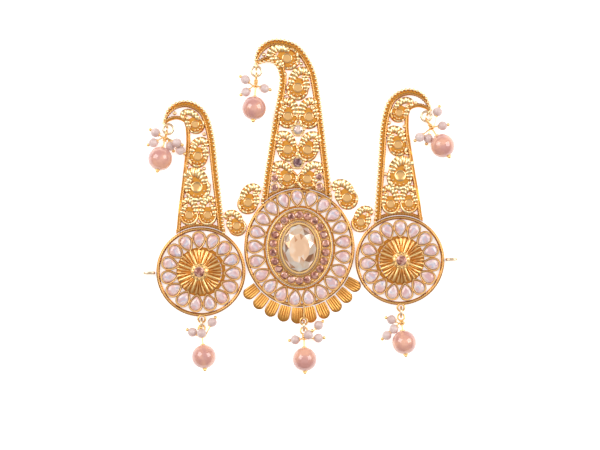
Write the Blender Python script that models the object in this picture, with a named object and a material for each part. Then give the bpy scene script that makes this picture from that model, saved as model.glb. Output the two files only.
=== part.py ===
"""A kalgi, the jewel pinned to the front of a turban: three hooked plumes on three stone-set medallions.

It lies on its flat back on z = 0. X runs to the wearer's left, Y up the plumes and Z out of the front. The origin is
the centre of the flat back of the centre bezel.
"""

import math
from dataclasses import dataclass

import bmesh
import bpy
from mathutils import Matrix, Vector

# Clearances
GAP = 0.0003
LINK_CLEARANCE = 0.00045

# Centre medallion
RING_HALF_WIDTH = 0.0212
RING_HALF_HEIGHT = 0.0226
RING_BAND = 0.0013
RING_THICKNESS = 0.0017
INNER_BAND = 0.0009
INNER_THICKNESS = 0.0010
CENTRE_PEARS = 21
CENTRE_PEAR_START = 92.8
PEAR_LENGTH = 0.0070
PEAR_WIDTH = 0.0053
PEAR_HEIGHT = 0.0022
PEAR_STONE_RISE = 0.0007

# Centre stone, its bezel and the halo round it
STONE_HALF_WIDTH = 0.0065
STONE_HALF_HEIGHT = 0.0090
STONE_HEIGHT = 0.0046
BEZEL_WALL = 0.0006
BEZEL_FLOOR = 0.0010
BEZEL_HEIGHT = 0.0040
HALO_WIDTH = 0.0049
HALO_HEIGHT = 0.0024
HALO_FLOOR = 0.0018

# Side medallions
SIDE_RING_RADIUS = 0.0171
SIDE_PEARS = 15
SIDE_PEAR_START = 92.0
LEFT_CONTACT_ANGLE = 193.5
RIGHT_CONTACT_ANGLE = -7.0
SIDE_RING_GAP = 0.0005
LEAN = 1.25
FLOWER_RADIUS = 0.0086
FLOWER_HEIGHT = 0.0028
FLOWER_FLUTES = 16
FLOWER_SHIFT = 0.0005
FLOWER_STONE_RADIUS = 0.0037
FLOWER_STONE_HEIGHT = 0.0016

# Plumes
PLUME_THICKNESS = 0.0013
PLUME_RIDGE = 0.0019
CENTRE_PLUME_HEIGHT = 0.0574
CENTRE_PLUME_REACH = 0.0165
CENTRE_PLUME_HALF_WIDTH = 0.0136
SIDE_PLUME_HEIGHT = 0.0485
SIDE_PLUME_REACH = 0.0128
SIDE_PLUME_HALF_WIDTH = 0.0094
BORDER = 0.0028
THIN_BORDER = 0.0016
BASE_BAR = 0.0014
TIP_BAR = 0.0010
MOTIF_HEIGHT = 0.0021
SEAT_RADIUS = 0.0029
SEAT_HEIGHT = 0.0018
SEAT_STONE_RADIUS = 0.0020
SEAT_STONE_HEIGHT = 0.0012
CORNER_SEAT_RADIUS = 0.0017

# Links, petals and loops
LINK_RADIUS = 0.0040
LINK_LENGTH = 0.0066
PETALS = 10
PETAL_START = 221.0
PETAL_END = 326.7
PETAL_LENGTH = 0.0062
PETAL_WIDTH = 0.0048
PETAL_LIFT = 0.0002
PETAL_THICKNESS = 0.0009
ARM_ACROSS = 0.0017
ARM_LENGTH = 0.0045
LOOP_LENGTH = 0.0048
LOOP_HEIGHT = 0.0032
LOOP_WIRE = 0.0007

# Drops
JUMP_RING_RADIUS = 0.0019
JUMP_RING_WIRE = 0.0005
EYELET_WIRE = 0.0004
PIN_WIRE = 0.00035
STEM_WIRE = 0.0003
HUB_WIRE = 0.0003
LARGE_PEARL_RADIUS = 0.0046
SMALL_PEARL_RADIUS = 0.0018
STEM_LENGTH = 0.0070
PIN_HEAD = 0.0007

# Facets
RING_STATIONS = 34
SIDE_STATIONS = 28
INNER_STATIONS = 24
PEAR_SIDES = 7
STONE_SIDES = 8
BEAD_SIDES = 12
SMALL_BEAD_SIDES = 10
LINK_SIDES = 10
FOOT_STEPS = 6
WIRE_SIDES = 5
FLAT_WITHIN = 1.0
BOWL_TURN = 13.0
SEAT_TURN = 17.0

# Each plume's spine, from its foot to the tip of its hook: the place across as a share of the hook's reach, the place
# above the ring as a share of the plume's height, and the half width as a share of that at the foot.
CENTRE_SPINE = (
    (-0.065, 0.0, 1.0),
    (-0.05, 0.074, 0.937),
    (-0.044, 0.208, 0.859),
    (-0.031, 0.4, 0.75),
    (-0.016, 0.569, 0.641),
    (-0.016, 0.676, 0.568),
    (-0.044, 0.756, 0.521),
    (-0.137, 0.83, 0.479),
    (-0.265, 0.883, 0.451),
    (-0.462, 0.914, 0.394),
    (-0.647, 0.92, 0.344),
    (-0.817, 0.9, 0.268),
    (-0.937, 0.866, 0.155),
    (-1.0, 0.835, 0.05),
)
SIDE_SPINE = (
    (0.02, 0.0, 1.0),
    (0.033, 0.138, 0.908),
    (0.051, 0.308, 0.8),
    (0.066, 0.486, 0.692),
    (0.075, 0.68, 0.59),
    (-0.018, 0.847, 0.508),
    (-0.158, 0.896, 0.486),
    (-0.37, 0.924, 0.447),
    (-0.594, 0.923, 0.376),
    (-0.782, 0.901, 0.273),
    (-0.925, 0.862, 0.143),
    (-1.0, 0.83, 0.053),
)

# The paisleys of each plume: the bowl's place and the scroll's, each along the spine from 0 to 1 and across it from
# -1 at the inner edge to 1 at the outer, and the bowl's radius, all but the first as shares of the half width there.
CENTRE_MOTIFS = (
    (0.77, -0.05, 0.885, -0.1, 0.66),
    (0.58, -0.06, 0.67, 0.4, 0.52),
    (0.413, -0.42, 0.507, -0.52, 0.4),
    (0.413, 0.42, 0.507, 0.52, 0.4),
    (0.222, -0.32, 0.31, -0.64, 0.34),
    (0.222, 0.32, 0.31, 0.64, 0.34),
    (0.057, -0.28, 0.135, -0.66, 0.28),
    (0.057, 0.28, 0.135, 0.66, 0.28),
)
SIDE_MOTIFS = (
    (0.69, -0.16, 0.822, -0.22, 0.64),
    (0.47, -0.2, 0.578, 0.14, 0.6),
    (0.26, -0.18, 0.366, -0.55, 0.62),
    (0.075, -0.49, 0.18, -0.62, 0.38),
    (0.075, 0.3, 0.188, 0.42, 0.38),
)
# Round seats of the centre plume, as the place along and across: two for its main stones, and the small corner ones
STONE_SEATS = {"plume_stone_upper": (0.343, 0.0), "plume_stone_lower": (0.153, 0.0)}
CORNER_SEATS = ((0.055, -0.67), (0.0, -0.62), (0.075, 0.66), (0.02, 0.66))


@dataclass(frozen=True)
class Drop:
    """How one drop lies. Headings are in degrees from +X towards +Y.

    The ring heading runs from the carrier to the jump ring, the eye heading from there to the head pin's eye, and the
    pin heading along the pin. The stem is a share of STEM_LENGTH and the hub a share of the stem. The small pearls are
    offsets from the hub in diameters of a small pearl.
    """

    ring_heading: float
    eye_heading: float
    pin_heading: float
    stem: float
    hub: float
    pearls: tuple


DROPS = {
    "left_top": Drop(
        -56,
        -114,
        -102,
        0.64,
        0.12,
        ((-1.05, 0.6, 0.0), (-1.25, -0.5, 0.0), (0.55, -0.86, 0.0), (1.28, -0.53, 0.6), (1.6, -1.3, 0.0)),
    ),
    "centre_top": Drop(-90, -90, -93.7, 0.98, 0.39, ((-1.1, 0.71, 0.05), (-1.04, -0.61, 0.0), (0.95, -0.23, 0.0))),
    "right_top": Drop(
        -121,
        -75,
        -60,
        0.785,
        0.35,
        ((0.62, 1.75, 0.0), (1.14, 0.24, 0.2), (-1.31, -0.98, 0.4), (-0.37, -1.1, 0.0)),
    ),
    "left_bottom": Drop(
        -90, -90, -84.8, 0.7, 0.39, ((1.05, 1.55, 0.0), (-1.05, 0.5, 0.0), (-0.05, 0.42, 0.52))
    ),
    "centre_bottom": Drop(
        -90, -90, -88.4, 0.72, 0.36, ((1.55, 1.45, 0.0), (0.45, 0.46, 0.48), (1.52, 0.08, 0.0), (-0.95, -0.1, 0.0))
    ),
    "right_bottom": Drop(-90, -90, -83.6, 0.56, 0.27, ((-1.1, 0.38, 0.0), (-0.85, -0.62, 0.0), (-1.6, -1.3, 0.0))),
}

EYELET_RADIUS = JUMP_RING_WIRE + LINK_CLEARANCE + EYELET_WIRE
PIN_EYE_RADIUS = JUMP_RING_WIRE + LINK_CLEARANCE + PIN_WIRE
HUB_RADIUS = PIN_WIRE + LINK_CLEARANCE + HUB_WIRE
LINK_LEVEL = EYELET_RADIUS + EYELET_WIRE


def material(name, colour, roughness, metallic):
    """A plain material of one colour."""
    made = bpy.data.materials.new(name)
    made.use_nodes = True
    shader = made.node_tree.nodes["Principled BSDF"]
    shader.inputs["Base Color"].default_value = (*colour, 1.0)
    shader.inputs["Roughness"].default_value = roughness
    shader.inputs["Metallic"].default_value = metallic
    return made


def skin(sections, closed=False):
    """A closed mesh through sections of as many points each. An open run of sections gets a cap at each end."""
    shape = bmesh.new()
    rings = [[shape.verts.new(point) for point in section] for section in sections]
    following = rings[1:] + rings[:1] if closed else rings[1:]
    for ring, after in zip(rings, following):
        for i, corner in enumerate(ring):
            j = (i + 1) % len(ring)
            shape.faces.new((corner, ring[j], after[j], after[i]))
    if not closed:
        shape.faces.new(rings[0])
        shape.faces.new(rings[-1])
    bmesh.ops.recalc_face_normals(shape, faces=shape.faces)
    bmesh.ops.triangulate(shape, faces=shape.faces)
    mesh = bpy.data.meshes.new("shape")
    shape.to_mesh(mesh)
    shape.free()
    return mesh


def merge_flat(mesh):
    """Joins the level faces that a union has split, and drops the points left over on straight edges."""
    shape = bmesh.new()
    shape.from_mesh(mesh)
    bmesh.ops.dissolve_limit(shape, angle_limit=math.radians(FLAT_WITHIN), verts=shape.verts, edges=shape.edges)
    bmesh.ops.triangulate(shape, faces=shape.faces)
    shape.to_mesh(mesh)
    shape.free()


def node(name, meshes, finish):
    """One object: the union of closed meshes that overlap."""
    made = bpy.data.objects.new(name, meshes[0])
    bpy.context.scene.collection.objects.link(made)
    if len(meshes) > 1:
        others = bpy.data.collections.new("others")
        bpy.context.scene.collection.children.link(others)
        for mesh in meshes[1:]:
            others.objects.link(bpy.data.objects.new("other", mesh))
        union = made.modifiers.new("union", "BOOLEAN")
        union.operation = "UNION"
        union.operand_type = "COLLECTION"
        union.collection = others
        union.solver = "MANIFOLD"
        graph = bpy.context.evaluated_depsgraph_get()
        made.data = bpy.data.meshes.new_from_object(made.evaluated_get(graph))
        made.modifiers.clear()
        merge_flat(made.data)
        for other in list(others.objects):
            bpy.data.objects.remove(other)
        bpy.data.collections.remove(others)
    made.data.name = name
    made.data.materials.clear()
    made.data.materials.append(finish)
    made.data.shade_smooth()
    made.data.set_sharp_from_angle(angle=math.radians(35))
    return made


def heading(degrees):
    """The flat unit vector of a heading, counted from +X towards +Y."""
    return Vector((math.cos(math.radians(degrees)), math.sin(math.radians(degrees)), 0))


def raised(point, z):
    """A point of the plan at a height."""
    return Vector((point[0], point[1], z))


def band(outer, inner, profile):
    """A closed strip between two loops of the plan. The profile's rows are the share from outer to inner, and z."""
    return skin([[raised(a.lerp(b, share), z) for share, z in profile] for a, b in zip(outer, inner)], closed=True)


def rail(width_share, low, high):
    """The profile of a flat-backed strip with a raised wire along each edge."""
    edge = width_share / 2
    return ((0, 0), (0, low), (edge, high), (0.5, low), (1 - edge, high), (1, 0))


def turned(rings, centre=(0, 0), sides=STONE_SIDES, turn=0.0):
    """A solid with circular sections on one upright axis. The rings' rows are radius and z."""
    spokes = [heading(turn + 360 * i / sides) for i in range(sides)]
    return skin([[raised(Vector((*centre, 0)) + radius * spoke, z) for spoke in spokes] for radius, z in rings])


def oval(half_width, half_height, angle, offset=0.0):
    """The point of an ellipse about the origin at a parameter angle, moved out along the normal by an offset."""
    way = heading(angle)
    normal = Vector((way.x / half_width, way.y / half_height, 0)).normalized()
    return Vector((half_width * way.x, half_height * way.y, 0)) + normal * offset, normal


def oval_loop(half_width, half_height, count, offset=0.0):
    """The points of such an ellipse, all the way round."""
    return [oval(half_width, half_height, 360 * i / count, offset)[0] for i in range(count)]


def frame_of(direction):
    """Two unit vectors square to a direction, the first of them as level as can be."""
    first = Vector((0, 0, 1)).cross(direction)
    if first.length < 1e-6:
        first = Vector((1, 0, 0))
    first.normalize()
    return first, direction.cross(first).normalized()


def ring(centre, axis, radius, wire, sides=LINK_SIDES, wire_sides=WIRE_SIDES):
    """A round link of wire."""
    first, second = frame_of(axis.normalized())
    sections = []
    for i in range(sides):
        turn = 2 * math.pi * i / sides
        out = first * math.cos(turn) + second * math.sin(turn)
        section = []
        for j in range(wire_sides):
            side = 2 * math.pi * j / wire_sides
            section.append(centre + out * (radius + wire * math.cos(side)) + axis.normalized() * wire * math.sin(side))
        sections.append(section)
    return skin(sections, closed=True)


def tube(points, radii, sides=WIRE_SIDES):
    """A round bar through points, with a radius at each."""
    sections = []
    for i, point in enumerate(points):
        way = (points[min(i + 1, len(points) - 1)] - points[max(i - 1, 0)]).normalized()
        first, second = frame_of(way)
        turns = [2 * math.pi * j / sides for j in range(sides)]
        sections.append([point + radii[i] * (first * math.cos(t) + second * math.sin(t)) for t in turns])
    return skin(sections)


def bead(centre, radius, sides, rings, hole=0.0, axis=Vector((0, 0, 1))):
    """A round bead, drilled along its axis where it has a hole."""
    first, second = frame_of(axis.normalized())
    start = math.asin(hole / radius) if hole else 0.0
    steps = [start + (math.pi - 2 * start) * i / rings for i in range(rings + 1)]
    if hole:
        sections = []
        for j in range(sides):
            turn = 2 * math.pi * j / sides
            out = first * math.cos(turn) + second * math.sin(turn)
            sections.append([centre + radius * (out * math.sin(s) + axis.normalized() * math.cos(s)) for s in steps])
        return skin(sections, closed=True)
    shape = bmesh.new()
    bmesh.ops.create_uvsphere(shape, u_segments=sides, v_segments=rings, radius=radius)
    bmesh.ops.translate(shape, verts=shape.verts, vec=centre)
    mesh = bpy.data.meshes.new("bead")
    shape.to_mesh(mesh)
    shape.free()
    return mesh


def pear_outline(length, width):
    """A pear's corners about its middle, with its point towards -X."""
    corners = []
    for i in range(PEAR_SIDES):
        turn = 2 * math.pi * i / PEAR_SIDES
        bulge = math.sin(turn) * abs(math.sin(turn / 2)) ** 0.7
        corners.append(Vector((-0.5 * length * math.cos(turn), 0.6 * width * bulge, 0)))
    return corners


def pear_setting(centre, outward):
    """A collet with its pear stone, the point inwards: sloping wall, crown facets and table."""
    turn = Matrix.Rotation(math.atan2(outward.y, outward.x), 3, "Z")
    levels = ((1.0, 0.1 * PEAR_HEIGHT), (0.84, PEAR_HEIGHT), (0.5, PEAR_HEIGHT + PEAR_STONE_RISE))
    sections = []
    for share, z in levels:
        outline = pear_outline(PEAR_LENGTH * share, PEAR_WIDTH * share)
        sections.append([raised(centre + turn @ corner, z) for corner in outline])
    return skin(sections)


def cut_stone(centre, radius, base, height, sides=STONE_SIDES, turn=0.0):
    """A round stone: girdle, crown facets and table."""
    rings = ((radius, base), (radius, base + 0.45 * height), (0.6 * radius, base + height))
    return turned(rings, centre, sides, turn)


def seat(centre, radius):
    """A round seat that a small stone is set on."""
    return turned(((radius, 0.15 * SEAT_HEIGHT), (radius, SEAT_HEIGHT)), centre.xy, turn=SEAT_TURN)


def paisley(bowl, scroll, radius, curl):
    """A paisley as two closed meshes: the bowl with its crescent, and the feather arms that end in a scroll.

    The longer arm rises from the far side of the bowl and curls over towards the vector called curl.
    """
    base = MOTIF_HEIGHT * 0.1
    rings = (
        (radius, base),
        (0.92 * radius, 0.9 * MOTIF_HEIGHT),
        (0.6 * radius, 0.65 * MOTIF_HEIGHT),
        (0.34 * radius, 0.9 * MOTIF_HEIGHT),
    )
    up = scroll - bowl
    length = up.length
    up.normalize()
    side = Vector((-up.y, up.x, 0))
    if side.dot(curl) < 0:
        side.negate()
    # The arms' rows: across in bowl radii, up in lengths from bowl to scroll, height and thickness
    arms = (
        (-0.78, 0.0, 0.5, 0.2),
        (-0.85, 0.55, 0.6, 0.27),
        (-0.3, 1.05, 0.62, 0.27),
        (0.35, 1.0, 0.6, 0.24),
        (0.45, 0.45, 0.58, 0.24),
        (0.72, 0.0, 0.5, 0.18),
    )
    points = [raised(bowl + side * a * radius + up * b * length, c * MOTIF_HEIGHT) for a, b, c, _ in arms]
    return [turned(rings, bowl.xy, turn=BOWL_TURN), tube(points, [row[3] * radius for row in arms], sides=4)]


class Plume:
    """A plume's plan: its spine, edges and places on it. Its medallion's ring is an ellipse about the origin."""

    def __init__(self, rows, height, reach, half_width, ring_half_width, ring_half_height, inner_border):
        self.ring = (ring_half_width, ring_half_height)
        self.half_width = half_width
        self.inner_border = inner_border
        self.spine = [Vector((a * reach, ring_half_height + b * height, c * half_width)) for a, b, c in rows]

    def at(self, along, across):
        """The place on the spine and its half width, with a smooth run between the spine's rows."""
        steps = [(b.xy - a.xy).length for a, b in zip(self.spine, self.spine[1:])]
        left = along * sum(steps)
        index = 0
        while index < len(steps) - 1 and left > steps[index]:
            left -= steps[index]
            index += 1
        point = self.spine[index].lerp(self.spine[index + 1], left / steps[index])
        way = (self.spine[index + 1].xy - self.spine[index].xy).normalized()
        return Vector((point.x + way.y * across * point.z, point.y - way.x * across * point.z, 0)), point.z

    def foot(self, left_inset, right_inset, offset):
        """Points along the ring under the plume, between its edges or as far inside them as the insets say."""
        reach = self.ring[0] + offset
        left = math.acos((self.spine[0].x - self.half_width + left_inset) / reach)
        right = math.acos((self.spine[0].x + self.half_width - right_inset) / reach)
        turns = [math.degrees(left + (right - left) * i / FOOT_STEPS) for i in range(FOOT_STEPS + 1)]
        return [oval(*self.ring, turn, offset)[0] for turn in turns]

    def edges(self):
        """The outer and inner loops of the border: along the ring, up the outer edge, round the tip and back."""
        outer = self.foot(0, 0, GAP)
        inner = self.foot(self.inner_border, BORDER, GAP + BASE_BAR)
        ways = []
        for i, point in enumerate(self.spine):
            after = self.spine[min(i + 1, len(self.spine) - 1)]
            ways.append((after.xy - self.spine[max(i - 1, 0)].xy).normalized())
        for side, border in ((1, BORDER), (-1, self.inner_border)):
            run = list(zip(self.spine, ways))[1:]
            for point, way in run if side == 1 else reversed(run):
                across = Vector((way.y, -way.x, 0)) * side
                wide = point.z
                width = min(border, 0.72 * wide)
                outer.append(raised(point, 0) + across * wide)
                back = way * TIP_BAR if point is self.spine[-1] else Vector((0, 0))
                inner.append(raised(point.xy - back, 0) + across * (wide - width))
        return outer, inner

    def border(self):
        return band(*self.edges(), rail(0.42, PLUME_THICKNESS, PLUME_RIDGE))

    def motifs(self, rows):
        meshes = []
        for along, across, scroll_along, scroll_across, size in rows:
            bowl, half = self.at(along, across)
            scroll, _ = self.at(scroll_along, scroll_across)
            outward = self.at(along, across + 1)[0] - bowl
            curl = outward if scroll_across > across else -outward
            meshes += paisley(bowl, scroll, size * half, curl)
        return meshes

    def tip(self):
        return raised(self.spine[-1], 0)


class Placing:
    """Where a side medallion and its plume lie in the jewel: one matrix that all their points pass through."""

    def __init__(self, origin, lean, mirrored):
        flip = Matrix.Scale(-1, 4, Vector((1, 0, 0))) if mirrored else Matrix.Identity(4)
        self.matrix = Matrix.Translation(origin) @ Matrix.Rotation(math.radians(lean), 4, "Z") @ flip
        self.mirrored = mirrored

    def put(self, meshes):
        """The meshes in the jewel's frame. Mirroring turns their faces round, so they are turned back."""
        for mesh in meshes:
            mesh.transform(self.matrix)
            if self.mirrored:
                mesh.flip_normals()
        return meshes


def hanging(name, edge, finish, upright):
    """A drop's nodes, and the meshes of the eyelet that carries it, which belong to its carrier."""
    drop = DROPS[name]
    way = heading(drop.ring_heading)
    sunk = EYELET_RADIUS - EYELET_WIRE
    eyelet_centre = raised(edge + way * sunk, LINK_LEVEL)
    across = Vector((-way.y, way.x, 0))
    axis = across if upright else Vector((0, 0, 1))
    eyelet = [ring(eyelet_centre, axis, EYELET_RADIUS, EYELET_WIRE)]
    lift = 0 if upright else JUMP_RING_RADIUS + JUMP_RING_WIRE + GAP / 2 - LINK_LEVEL
    ring_centre = eyelet_centre + way * math.sqrt(JUMP_RING_RADIUS**2 - lift**2) + Vector((0, 0, lift))
    ring_axis = Vector((0, 0, 1)) if upright else across
    node(name + "_jump_ring", [ring(ring_centre, ring_axis, JUMP_RING_RADIUS, JUMP_RING_WIRE)], finish["ring"])
    eye = ring_centre + heading(drop.eye_heading) * JUMP_RING_RADIUS
    flat = heading(drop.pin_heading)
    stem = drop.stem * STEM_LENGTH
    reach = PIN_EYE_RADIUS + stem + LARGE_PEARL_RADIUS
    rise = LARGE_PEARL_RADIUS - eye.z
    pearl = eye + flat * math.sqrt(reach**2 - rise**2) + Vector((0, 0, rise))
    along = (pearl - eye).normalized()
    level = Vector((-along.y, along.x, 0)).normalized()
    eye_axis = level if upright else along.cross(level)
    head = pearl + along * (LARGE_PEARL_RADIUS + PIN_HEAD)
    pin = [
        ring(eye, eye_axis, PIN_EYE_RADIUS, PIN_WIRE),
        tube([eye + along * PIN_EYE_RADIUS, head], [STEM_WIRE] * 2),
        bead(head, PIN_HEAD, WIRE_SIDES, 4),
    ]
    node(name + "_head_pin", pin, finish["metal"])
    hole = STEM_WIRE + GAP
    node(name + "_pearl", [bead(pearl, LARGE_PEARL_RADIUS, BEAD_SIDES, 6, hole, along)], finish["pearl"])
    hub = eye + along * (PIN_EYE_RADIUS + drop.hub * stem)
    cluster = [ring(hub, along, HUB_RADIUS, HUB_WIRE)]
    for offset in drop.pearls:
        centre = hub + Vector(offset) * 2 * SMALL_PEARL_RADIUS
        out = centre - hub
        out -= along * out.dot(along)
        start = hub + out.normalized() * HUB_RADIUS
        cluster.append(tube([start, centre], [0.9 * HUB_WIRE] * 2, sides=4))
        cluster.append(bead(centre, SMALL_PEARL_RADIUS, SMALL_BEAD_SIDES, 4))
    node(name + "_cluster", cluster, finish["small"])
    return eyelet


def pear_ring(half_width, half_height, count, start, offset):
    """Pear settings round an ellipse, clockwise from a start angle."""
    settings = []
    for i in range(count):
        centre, normal = oval(half_width, half_height, start - 360 * i / count, offset)
        settings.append(pear_setting(centre, normal))
    return settings


def petal(place):
    """A fluted petal that points along +X of its placing matrix, with three ribs down its length."""
    across = [-1, -0.67, -0.33, 0, 0.33, 0.67, 1]
    sections = []
    for j, share in enumerate(across):
        rib = PETAL_THICKNESS if j % 2 else 0.55 * PETAL_THICKNESS
        reach = math.sqrt(max(0.0, 1 - 0.8 * share**2))
        run = ((0, 0.82), (0.4, 1.0), (0.55 + 0.45 * reach, 0.94))
        top = [Vector((x * PETAL_LENGTH, wide * share * PETAL_WIDTH / 2, PETAL_LIFT + rib)) for x, wide in run]
        bottom = [Vector((corner.x, corner.y, PETAL_LIFT)) for corner in reversed(top)]
        sections.append([place @ corner for corner in top + bottom])
    return skin(sections)


def clear_scene():
    for old in list(bpy.data.objects):
        bpy.data.objects.remove(old)


def finishes():
    gilt = material("gilt", (0.86, 0.55, 0.16), 0.28, 1.0)
    return {
        "metal": gilt,
        "petal": material("deep_gilt", (0.72, 0.38, 0.07), 0.35, 1.0),
        "ring": material("pale_metal", (0.82, 0.76, 0.66), 0.25, 1.0),
        "opal": material("opal", (0.9, 0.82, 0.83), 0.15, 0.0),
        "rose": material("rose_stone", (0.5, 0.3, 0.25), 0.1, 0.0),
        "champagne": material("champagne_stone", (0.85, 0.62, 0.45), 0.05, 0.0),
        "pearl": material("rose_pearl", (0.83, 0.53, 0.46), 0.2, 0.0),
        "small": material("small_pearl", (0.82, 0.74, 0.74), 0.5, 0.0),
    }


def halo_loops():
    """The halo's outer and inner half axes, which follow the bezel."""
    inner = (STONE_HALF_WIDTH + BEZEL_WALL + 2 * GAP, STONE_HALF_HEIGHT + BEZEL_WALL + 2 * GAP)
    return (inner[0] + HALO_WIDTH, inner[1] + HALO_WIDTH), inner


def build_centre_stone(finish):
    """The closed cup of the bezel, with the oval stone in it and the channel of the halo round it."""
    cup = (
        (BEZEL_WALL + GAP, 0),
        (BEZEL_WALL + GAP, BEZEL_HEIGHT),
        (GAP, BEZEL_HEIGHT),
        (GAP, BEZEL_FLOOR),
    )
    size = (STONE_HALF_WIDTH, STONE_HALF_HEIGHT)
    node("centre_bezel", [skin([[raised(p, z) for p in oval_loop(*size, 24, o)] for o, z in cup])], finish["metal"])
    base = BEZEL_FLOOR + GAP
    tiers = ((1.0, 0.0), (1.0, 0.62), (0.82, 0.86), (0.55, 1.0))
    sections = []
    for share, rise in tiers:
        loop = oval_loop(size[0] * share, size[1] * share, 16)
        sections.append([raised(point, base + rise * STONE_HEIGHT) for point in loop])
    node("centre_stone", [skin(sections)], finish["champagne"])
    outer, inner = halo_loops()
    profile = ((0, 0), (0, HALO_HEIGHT), (0.14, HALO_FLOOR), (0.86, HALO_FLOOR), (1, HALO_HEIGHT), (1, 0))
    halo = band(oval_loop(*outer, INNER_STATIONS), oval_loop(*inner, INNER_STATIONS), profile)
    node("centre_halo", [halo], finish["rose"])


def medallion_bands(half_width, half_height, inner_size, stations):
    """The rope ring of a medallion and the inner ring that carries the points of its collets."""
    shoulder = 0.85 * RING_THICKNESS
    profile = ((0, 0), (0, shoulder), (0.5, RING_THICKNESS), (1, shoulder), (1, 0))
    outer = band(
        oval_loop(half_width, half_height, stations), oval_loop(half_width, half_height, stations, -RING_BAND), profile
    )
    flat = ((0, 0), (0, INNER_THICKNESS), (1, INNER_THICKNESS), (1, 0))
    hoop = band(oval_loop(*inner_size, INNER_STATIONS, INNER_BAND), oval_loop(*inner_size, INNER_STATIONS), flat)
    return [outer, hoop]


def build_centre(finish):
    build_centre_stone(finish)
    halo, _ = halo_loops()
    hole = (halo[0] + GAP, halo[1] + GAP)
    meshes = medallion_bands(RING_HALF_WIDTH, RING_HALF_HEIGHT, hole, RING_STATIONS)
    meshes += pear_ring(*hole, CENTRE_PEARS, CENTRE_PEAR_START, PEAR_LENGTH / 2 + 0.2 * INNER_BAND)
    arm = [Vector((ARM_ACROSS, y, LINK_LEVEL)) for y in (RING_BAND / 2 - RING_HALF_HEIGHT, -RING_HALF_HEIGHT - ARM_LENGTH)]
    meshes.append(tube(arm, [EYELET_WIRE] * 2))
    meshes += hanging("centre_bottom", arm[-1], finish, False)
    node("centre_medallion", meshes, finish["metal"])
    plume = Plume(
        CENTRE_SPINE,
        CENTRE_PLUME_HEIGHT,
        CENTRE_PLUME_REACH,
        CENTRE_PLUME_HALF_WIDTH,
        RING_HALF_WIDTH,
        RING_HALF_HEIGHT,
        BORDER,
    )
    meshes = [plume.border()] + plume.motifs(CENTRE_MOTIFS)
    for name, spot in STONE_SEATS.items():
        centre, _ = plume.at(*spot)
        meshes.append(seat(centre, SEAT_RADIUS))
        node(name, [cut_stone(centre.xy, SEAT_STONE_RADIUS, SEAT_HEIGHT + GAP, SEAT_STONE_HEIGHT)], finish["rose"])
    meshes += [seat(plume.at(*spot)[0], CORNER_SEAT_RADIUS) for spot in CORNER_SEATS]
    meshes += hanging("centre_top", plume.tip(), finish, True)
    node("centre_plume", meshes, finish["metal"])


def build_side(name, origin, mirrored, finish):
    """A side medallion with its flower, fastening loop, plume and drops."""
    place = Placing(origin, LEAN, mirrored)
    hole = (SIDE_RING_RADIUS - RING_BAND - PEAR_LENGTH + 0.0008,) * 2
    size = (SIDE_RING_RADIUS,) * 2
    meshes = medallion_bands(*size, [h - INNER_BAND for h in hole], SIDE_STATIONS)
    meshes += pear_ring(*hole, SIDE_PEARS, SIDE_PEAR_START, PEAR_LENGTH / 2 - 0.5 * INNER_BAND)
    post = Vector((0, EYELET_WIRE - SIDE_RING_RADIUS, 0))
    meshes.append(tube([raised(post, 0.1 * LINK_LEVEL), raised(post, LINK_LEVEL)], [EYELET_WIRE] * 2))
    foot = place.matrix @ Vector((0, -SIDE_RING_RADIUS, 0))
    eyelet = hanging(name + "_bottom", foot, finish, False)
    node(name + "_medallion", place.put(meshes) + eyelet, finish["metal"])

    shift = Vector((-FLOWER_SHIFT, 0))
    sections = []
    for radius, low, high in ((1.0, 0.0, 0.0), (1.0, 0.25, 0.4), (0.42, 0.75, 0.9)):
        section = []
        for i in range(2 * FLOWER_FLUTES):
            share = high if i % 2 else low
            out = heading(180 * i / FLOWER_FLUTES) * FLOWER_RADIUS * radius
            section.append(raised(Vector((*shift, 0)) + out, INNER_THICKNESS + GAP + share * FLOWER_HEIGHT))
        sections.append(section)
    node(name + "_flower", place.put([skin(sections)]), finish["metal"])
    top = INNER_THICKNESS + 2 * GAP + 0.9 * FLOWER_HEIGHT
    rim = FLOWER_STONE_RADIUS
    rings = (
        (rim, top),
        (rim, top + 0.6 * FLOWER_STONE_HEIGHT),
        (0.8 * rim, top + 0.6 * FLOWER_STONE_HEIGHT),
        (0.5 * rim, top + FLOWER_STONE_HEIGHT),
    )
    node(name + "_flower_stone", place.put([turned(rings, shift, BEAD_SIDES)]), finish["rose"])

    middle = Vector((-SIDE_RING_RADIUS - GAP - LOOP_LENGTH / 2, 0, LOOP_HEIGHT / 2))
    half = (LOOP_LENGTH / 2 - LOOP_WIRE, LOOP_HEIGHT / 2 - LOOP_WIRE)
    sections = []
    for i in range(LINK_SIDES):
        way = heading(360 * i / LINK_SIDES)
        out = Vector((way.x, 0, way.y))
        spot = middle + Vector((half[0] * way.x, 0, half[1] * way.y))
        turns = [2 * math.pi * j / WIRE_SIDES for j in range(WIRE_SIDES)]
        sections.append([spot + LOOP_WIRE * (out * math.cos(t) + Vector((0, math.sin(t), 0))) for t in turns])
    node(name + "_loop", place.put([skin(sections, closed=True)]), finish["ring"])

    plume = Plume(
        SIDE_SPINE, SIDE_PLUME_HEIGHT, SIDE_PLUME_REACH, SIDE_PLUME_HALF_WIDTH, *size, THIN_BORDER
    )
    meshes = place.put([plume.border()] + plume.motifs(SIDE_MOTIFS))
    meshes += hanging(name + "_top", place.matrix @ plume.tip(), finish, True)
    node(name + "_plume", meshes, finish["metal"])


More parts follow.
